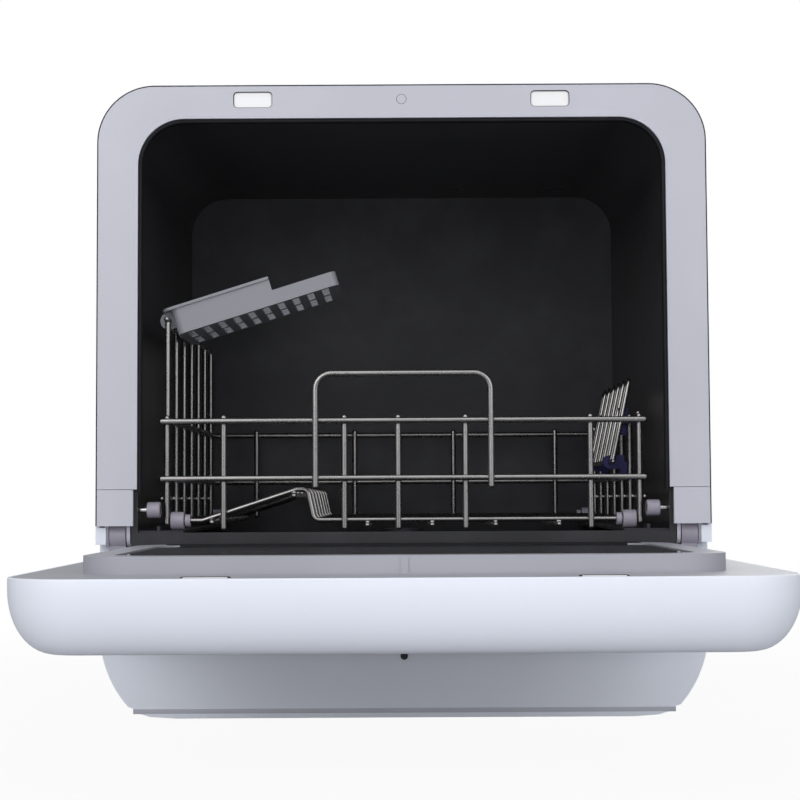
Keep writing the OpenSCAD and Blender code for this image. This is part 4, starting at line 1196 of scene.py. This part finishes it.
@dataclass
class WireWork(Assembly):
    """A sub-assembly of wires."""

    def wires(self, name: str, lines: list[list[Point]], radius: float, bend: float, *nodes: str) -> None:
        """Builds one set of wires.

        Args:
            name: the piece's name.
            lines: rows of points in millimetres.
            radius: radius of the wire.
            bend: middle line radius of its bends.
            *nodes: CAD nodes that it stands for.
        """
        mesh = line_mesh([[place(*p) for p in line] for line in lines])
        piece = self.shop.wire.apply(name, mesh, self.shop.palette.get(Slot.BASKET_WIRE),
                                     Wire_radius=radius * MM, Bend_radius=bend * MM)
        self.mount(piece, Slot.BASKET_WIRE, *nodes)


@dataclass
class Basket(WireWork):
    """The wire basket on its four wheels."""

    body: str = "basket"
    thick: float = 2.1
    thin: float = 1.9
    weld: float = 0.25
    bead_r: float = 2.1
    bead_spread: float = 0.14
    bead_seed: int = 11
    bead_out: float = 1.8
    bead_sink: float = 0.2
    panel_y: float = 20.0
    depth: float = 282.0
    half: float = 169.5
    side_inset: float = 5.3
    upper_z: float = 206.5
    lower_z: float = 166.7
    floor_z: float = 137.7
    stem_rise: float = 4.6
    stem_drop: float = 5.2
    corner_drop: float = 1.5
    handle_half: float = 60.7
    handle_z: float = 239.0
    handle_drop: float = 5.5
    handle_bend: float = 11.0
    handle_extra: float = 0.1
    front_bend: float = 5.0
    floor_bend: float = 4.5
    side_bend: float = 4.0
    shelf_z: float = 278.0
    right_rise: float = 4.4
    runner_z: float = 153.0
    axle_end: float = 163.4
    floor_short: float = 0.4
    bite: float = 1.0  # how far some wire ends and beads stand in from a middle line
    shelf_short: float = 2.0
    stems: tuple[float, ...] = (-124.8, -40.9, -3.5, 43.3, 130.2)
    runs: tuple[float, ...] = (-25.0, 20.0, 64.0, 108.0)
    cup_x: tuple[float, ...] = (-140.0, -74.3, -66.5, -62.0)
    cup_rise: float = 21.3
    cup_runs: tuple[Pair, ...] = ((-133.0, -1.15), (-76.0, 17.1))
    cup_bead: Pair = (-76.0, 19.1)
    run_past: float = 3.0
    runner_past: float = 2.0
    crosses: int = 7

    def __post_init__(self) -> None:
        """Works out the places that follow from the sizes."""
        self.stem_y = self.panel_y + 2 * self.thick - self.weld
        self.back_y = self.panel_y + self.depth
        first = self.stem_y + self.thick + self.thin - self.weld
        pitch = (self.back_y - first - self.thin - self.thick + self.weld) / (self.crosses - 1)
        self.rows = [first + k * pitch for k in range(self.crosses)]
        self.side_x = self.half - self.side_inset
        self.rail_x = self.side_x - 2 * self.thin + self.weld
        self.runner_x = self.side_x + 2 * self.thin - self.weld
        self.under_z = self.floor_z - 2 * self.thin + self.weld
        self.hump_z = self.floor_z + self.cup_rise
        self.stem_top = self.upper_z + self.stem_rise - self.thick
        self.rails = (self.upper_z, self.lower_z)
        self.beads: list[Vector] = []

    def build(self) -> None:
        """Builds and dresses the basket."""
        self.front()
        self.floor()
        self.sides()
        self.back()
        welds = self.shop.bead.apply("basket_welds", line_mesh([[p] for p in self.beads]),
                                     self.shop.palette.get(Slot.BASKET_WIRE), Bead_size=self.bead_r * MM,
                                     Spread=self.bead_spread, Seed=self.bead_seed)
        self.mount(welds, Slot.BASKET_WIRE)
        for node, width, body in (("wheel_holders", 0.45, ""), ("tine_clips", 0.45, ""),
                                  ("tine_locks", 0.45, ""), ("wheel_front_left", 0.5, "wheel_fl"),
                                  ("wheel_front_right", 0.5, "wheel_fr"),
                                  ("wheel_rear_left", 0.5, "wheel_rl"),
                                  ("wheel_rear_right", 0.5, "wheel_rr")):
            self.soften(node, width, body=body)

    def panel_rails(self, y: float) -> list[list[Point]]:
        """Gives the two long wires of a front or back panel."""
        end = self.half - self.thick
        return [[(-end, y, z), (end, y, z)] for z in self.rails]

    def weld_rails(self, x: float, y: float) -> None:
        """Puts a weld bead where a wire crosses each of the two rails."""
        self.beads += [place(x, y, z) for z in self.rails]

    def front(self) -> None:
        """Builds the front panel and its handle."""
        lines = self.panel_rails(self.panel_y)
        joint_y = (self.panel_y + self.stem_y) / 2
        for x in self.stems:
            lines.append([(x, self.stem_y, self.floor_z - self.stem_drop), (x, self.stem_y, self.stem_top)])
            self.weld_rails(x, joint_y)
            self.beads.append(place(x, self.stem_y + self.thick - self.bead_sink, self.floor_height(x)))
        for side in SIDES:
            x = side * self.side_x
            lines.append([(x, self.stem_y, self.floor_z - self.corner_drop), (x, self.stem_y, self.stem_top)])
            self.weld_rails(x, joint_y)
        self.wires("front_wires", lines, self.thick, self.front_bend, "basket_front")
        y = self.panel_y - 2 * self.thick + self.weld
        half, low, top = self.handle_half, self.lower_z - self.handle_drop, self.handle_z
        loop = [(-half, y, low), (-half, y, top), (half, y, top), (half, y, low)]
        self.wires("handle_wire", [loop], self.thick + self.handle_extra, self.handle_bend, "basket_handle")
        for side in SIDES:
            self.weld_rails(side * half, self.panel_y - self.thick)

    def floor_line(self, end: float) -> list[Pair]:
        """Gives the X and Z of a floor wire, which rises and falls at the cup row.

        Args:
            end: how far it reaches to each side.

        Returns:
            Pairs from left to right.
        """
        foot, crest, edge, back = self.cup_x
        return [(-end, self.floor_z), (foot, self.floor_z), (crest, self.hump_z), (edge, self.hump_z),
                (back, self.floor_z), (end, self.floor_z)]

    def floor_height(self, x: float) -> float:
        """Gives the height of the floor wires at a place across the basket.

        Args:
            x: the place.

        Returns:
            The height of their middle line.
        """
        line = self.floor_line(self.half)
        (x0, z0), (x1, z1) = next(pair for pair in zip(line, line[1:]) if x <= pair[1][0])
        return z0 + (x - x0) / (x1 - x0) * (z1 - z0)

    def floor(self) -> None:
        """Builds the floor with its sloping cup row."""
        lines = []
        cup_x, cup_z = self.cup_bead
        bead_x = self.side_x - self.bite
        last_row = self.crosses - 1
        for k, y in enumerate(self.rows):
            end = self.axle_end if k in (0, last_row) else self.side_x - self.floor_short
            lines.append([(x, y, z) for x, z in self.floor_line(end)])
            self.beads += [place(x, y, (self.floor_z + self.under_z) / 2) for x in self.runs]
            self.beads.append(place(cup_x, y, self.floor_z + cup_z))
            if 0 < k < last_row:
                self.beads += [place(side * bead_x, y, self.floor_z) for side in SIDES]
        first, last = self.rows[0] - self.run_past, self.rows[-1] + self.run_past
        runs = [(x, self.under_z) for x in self.runs]
        runs += [(x, self.floor_z + rise) for x, rise in self.cup_runs]
        lines += [[(x, first, z), (x, last, z)] for x, z in runs]
        self.wires("floor_wires", lines, self.thin, self.floor_bend, "basket_floor")

    def sides(self) -> None:
        """Builds the left and right sides with their runner wires."""
        front, back = self.rows[0] - self.runner_past, self.rows[-1] + self.runner_past
        rail_front, rail_back = self.panel_y + self.bite, self.back_y - self.bite
        for side, name, top in ((-1, "left", self.shelf_z), (1, "right", self.upper_z + self.right_rise)):
            x, rail, run = side * self.side_x, side * self.rail_x, side * self.runner_x
            lines = [[(x, y, self.floor_z), (x, y, top)] for y in self.rows]
            for z in self.rails:
                lines.append([(rail, rail_front, z), (rail, rail_back, z)])
                self.beads += [place(side * (self.side_x - self.bead_out), y, z) for y in self.rows]
            lines.append([(run, front, self.runner_z), (run, back, self.runner_z)])
            self.beads += [place(side * (self.side_x + self.bead_out), y, self.runner_z) for y in self.rows]
            if side < 0:
                lines.append([(x, self.panel_y + self.shelf_short, top), (x, self.back_y, top)])
                self.beads += [place(x, y, top - self.bite) for y in self.rows]
            self.wires(name + "_wires", lines, self.thin, self.side_bend, "basket_" + name)

    def back(self) -> None:
        """Builds the back panel."""
        lines = self.panel_rails(self.back_y)
        inner = self.back_y - 2 * self.thick + self.weld
        for x in self.stems:
            lines.append([(x, inner, self.floor_z + self.bite), (x, inner, self.stem_top)])
            self.weld_rails(x, (self.back_y + inner) / 2)
        self.wires("back_wires", lines, self.thick, self.side_bend, "basket_back")


@dataclass
class Fittings(WireWork):
    """What folds in the basket: the cutlery shelf and the tine rack."""

    body: str = "rack"
    rack: Point = (150.2, 58.0, 178.0)
    tines: int = 6
    margin: float = 8.0
    pitch: float = 28.0
    tine_len: float = 60.0
    tine_half: float = 5.5
    tine_r: float = 1.6
    tine_bend: float = 5.0
    shaft_r: float = 1.8
    lean: float = 12.0

    def build(self) -> None:
        """Builds and dresses the shelf and the rack."""
        self.soften("cutlery_shelf", 0.45, body="shelf")
        x, y, z = self.rack
        tilt = math.radians(self.lean)
        tip_x, tip_z = x + self.tine_len * math.sin(tilt), z + self.tine_len * math.cos(tilt)
        lines = []
        for k in range(self.tines):
            middle = y + self.margin + k * self.pitch
            near, far = middle - self.tine_half, middle + self.tine_half
            lines.append([(x, near, z), (tip_x, near, tip_z), (tip_x, far, tip_z), (x, far, z)])
        self.wires("tine_loops", lines, self.tine_r, self.tine_bend, "tine_rack")
        length = (self.tines - 1) * self.pitch + 2 * self.margin
        self.wires("rack_shaft", [[(x, y, z), (x, y + length, z)]], self.shaft_r, self.tine_bend)


# Studio


@dataclass(frozen=True)
class Lamp:
    """One soft square lamp: its place and side in metres, and its watts."""

    name: str
    spot: Point
    size: float
    power: float
    mirrored: bool = True

    def hang(self, aim: Point) -> None:
        """Puts the lamp in the scene.

        Args:
            aim: the point that it faces.
        """
        data = bpy.data.lights.new(self.name, "AREA")
        data.size = self.size
        data.energy = self.power
        lamp = bpy.data.objects.new(self.name, data)
        bpy.context.scene.collection.objects.link(lamp)
        lamp.location = self.spot
        lamp.rotation_euler = (Vector(aim) - Vector(self.spot)).to_track_quat("-Z", "Y").to_euler()
        lamp.visible_glossy = self.mirrored


@dataclass
class Studio:
    """Floor, light and camera, in metres, with the lens and its sensor in millimetres."""

    eye: Point = (-0.002, -1.220, 0.1527)
    pitch: float = 3.265
    roll: float = -0.3
    lens: float = 77.3
    sensor: float = 36.0
    sight: float = 60.0
    floor_radius: float = 14.0
    floor_tones: tuple[Colour, Colour] = ((0.50, 0.50, 0.51), (0.54, 0.54, 0.55))
    fade: Pair = (0.3, 1.2)
    glow_near: float = 0.94
    aim: Point = (0.0, 0.0, 0.2)
    daylight: float = 0.47
    daylight_tint: tuple[float, ...] = (0.96, 0.98, 1.0, 1.0)
    lamps: tuple[Lamp, ...] = (
        Lamp("key", (-1.2, -2.2, 1.2), 1.6, 18.5),
        Lamp("fill", (1.5, -2.0, 1.1), 1.6, 11.5),
        Lamp("front", (0.0, -2.4, 0.15), 0.36, 9.8, mirrored=False),
        Lamp("hood", (0.0, -1.3, 2.0), 1.4, 5.5),
        Lamp("top", (0.0, 0.1, 2.2), 1.8, 4.0),
        Lamp("back", (0.7, 2.6, 1.3), 1.6, 14.0))

    def build(self) -> None:
        """Builds all of the studio."""
        self.camera()
        self.floor()
        self.world()
        for lamp in self.lamps:
            lamp.hang(self.aim)

    def camera(self) -> None:
        """Puts the camera at the photograph's place."""
        data = bpy.data.cameras.new("camera")
        data.lens = self.lens
        data.sensor_width = self.sensor
        data.clip_end = self.sight
        camera = bpy.data.objects.new("camera", data)
        bpy.context.scene.collection.objects.link(camera)
        tilt = Matrix.Rotation(math.radians(90 + self.pitch), 4, "X")
        roll = Matrix.Rotation(math.radians(self.roll), 4, "Z")
        camera.matrix_world = Matrix.Translation(self.eye) @ (tilt @ roll)
        bpy.context.scene.camera = camera

    def floor(self) -> None:
        """Makes the pale floor, which turns to plain white far away."""
        shape = bmesh.new()
        bmesh.ops.create_circle(shape, cap_ends=True, radius=self.floor_radius, segments=96)
        mesh = bpy.data.meshes.new("floor")
        shape.to_mesh(mesh)
        shape.free()
        floor = add_piece("floor", mesh)
        tree = MaterialTree("floor_paper")
        colour = tree.mixed(tree.noise(300.0, detail=3.0, rough=0.6), *self.floor_tones)
        paper = tree.node("ShaderNodeBsdfPrincipled", {},
                          {"Base Color": colour, "Roughness": 0.9, "Specular IOR Level": 0.1})
        glow = tree.node("ShaderNodeEmission", {}, {"Color": WHITE, "Strength": 1.0})
        far = tree.out(tree.node("ShaderNodeVectorMath", {"operation": "LENGTH"}, {0: tree.spot}), "Value")
        seen = tree.out(tree.node("ShaderNodeLightPath"), "Is Camera Ray")
        share = (far.above(*self.fade) * (1.0 - self.glow_near) + self.glow_near) * seen
        mix = tree.node("ShaderNodeMixShader", {}, {0: share, 1: paper, 2: glow})
        tree.node("ShaderNodeOutputMaterial", {}, {"Surface": mix})
        mesh.materials.append(tree.material)

    def world(self) -> None:
        """Makes an even pale surrounding, seen as plain white."""
        world = bpy.data.worlds.new("surround")
        world.use_nodes = True
        tree = NodeTree(world.node_tree)
        tree.nodes.clear()
        light = tree.node("ShaderNodeBackground", {}, {0: self.daylight_tint, 1: self.daylight})
        white = tree.node("ShaderNodeBackground", {}, {0: WHITE})
        seen = tree.node("ShaderNodeLightPath").outputs["Is Camera Ray"]
        mix = tree.node("ShaderNodeMixShader", {}, {0: seen, 1: light, 2: white})
        tree.node("ShaderNodeOutputWorld", {}, {0: mix})
        bpy.context.scene.world = world


def main() -> None:
    """Builds the studio and every sub-assembly in order."""
    logging.basicConfig(level=logging.INFO, format="%(message)s", stream=sys.stdout)
    bpy.context.scene.view_settings.view_transform = "Standard"
    Studio().build()
    shop = Workshop(Palette(), wire_tree(), bead_tree(), strip_tree(), stud_tree())
    Cabinet(shop).build()
    Door(shop).build()
    Basket(shop).build()
    Fittings(shop).build()


if __name__ == "__main__":
    main()
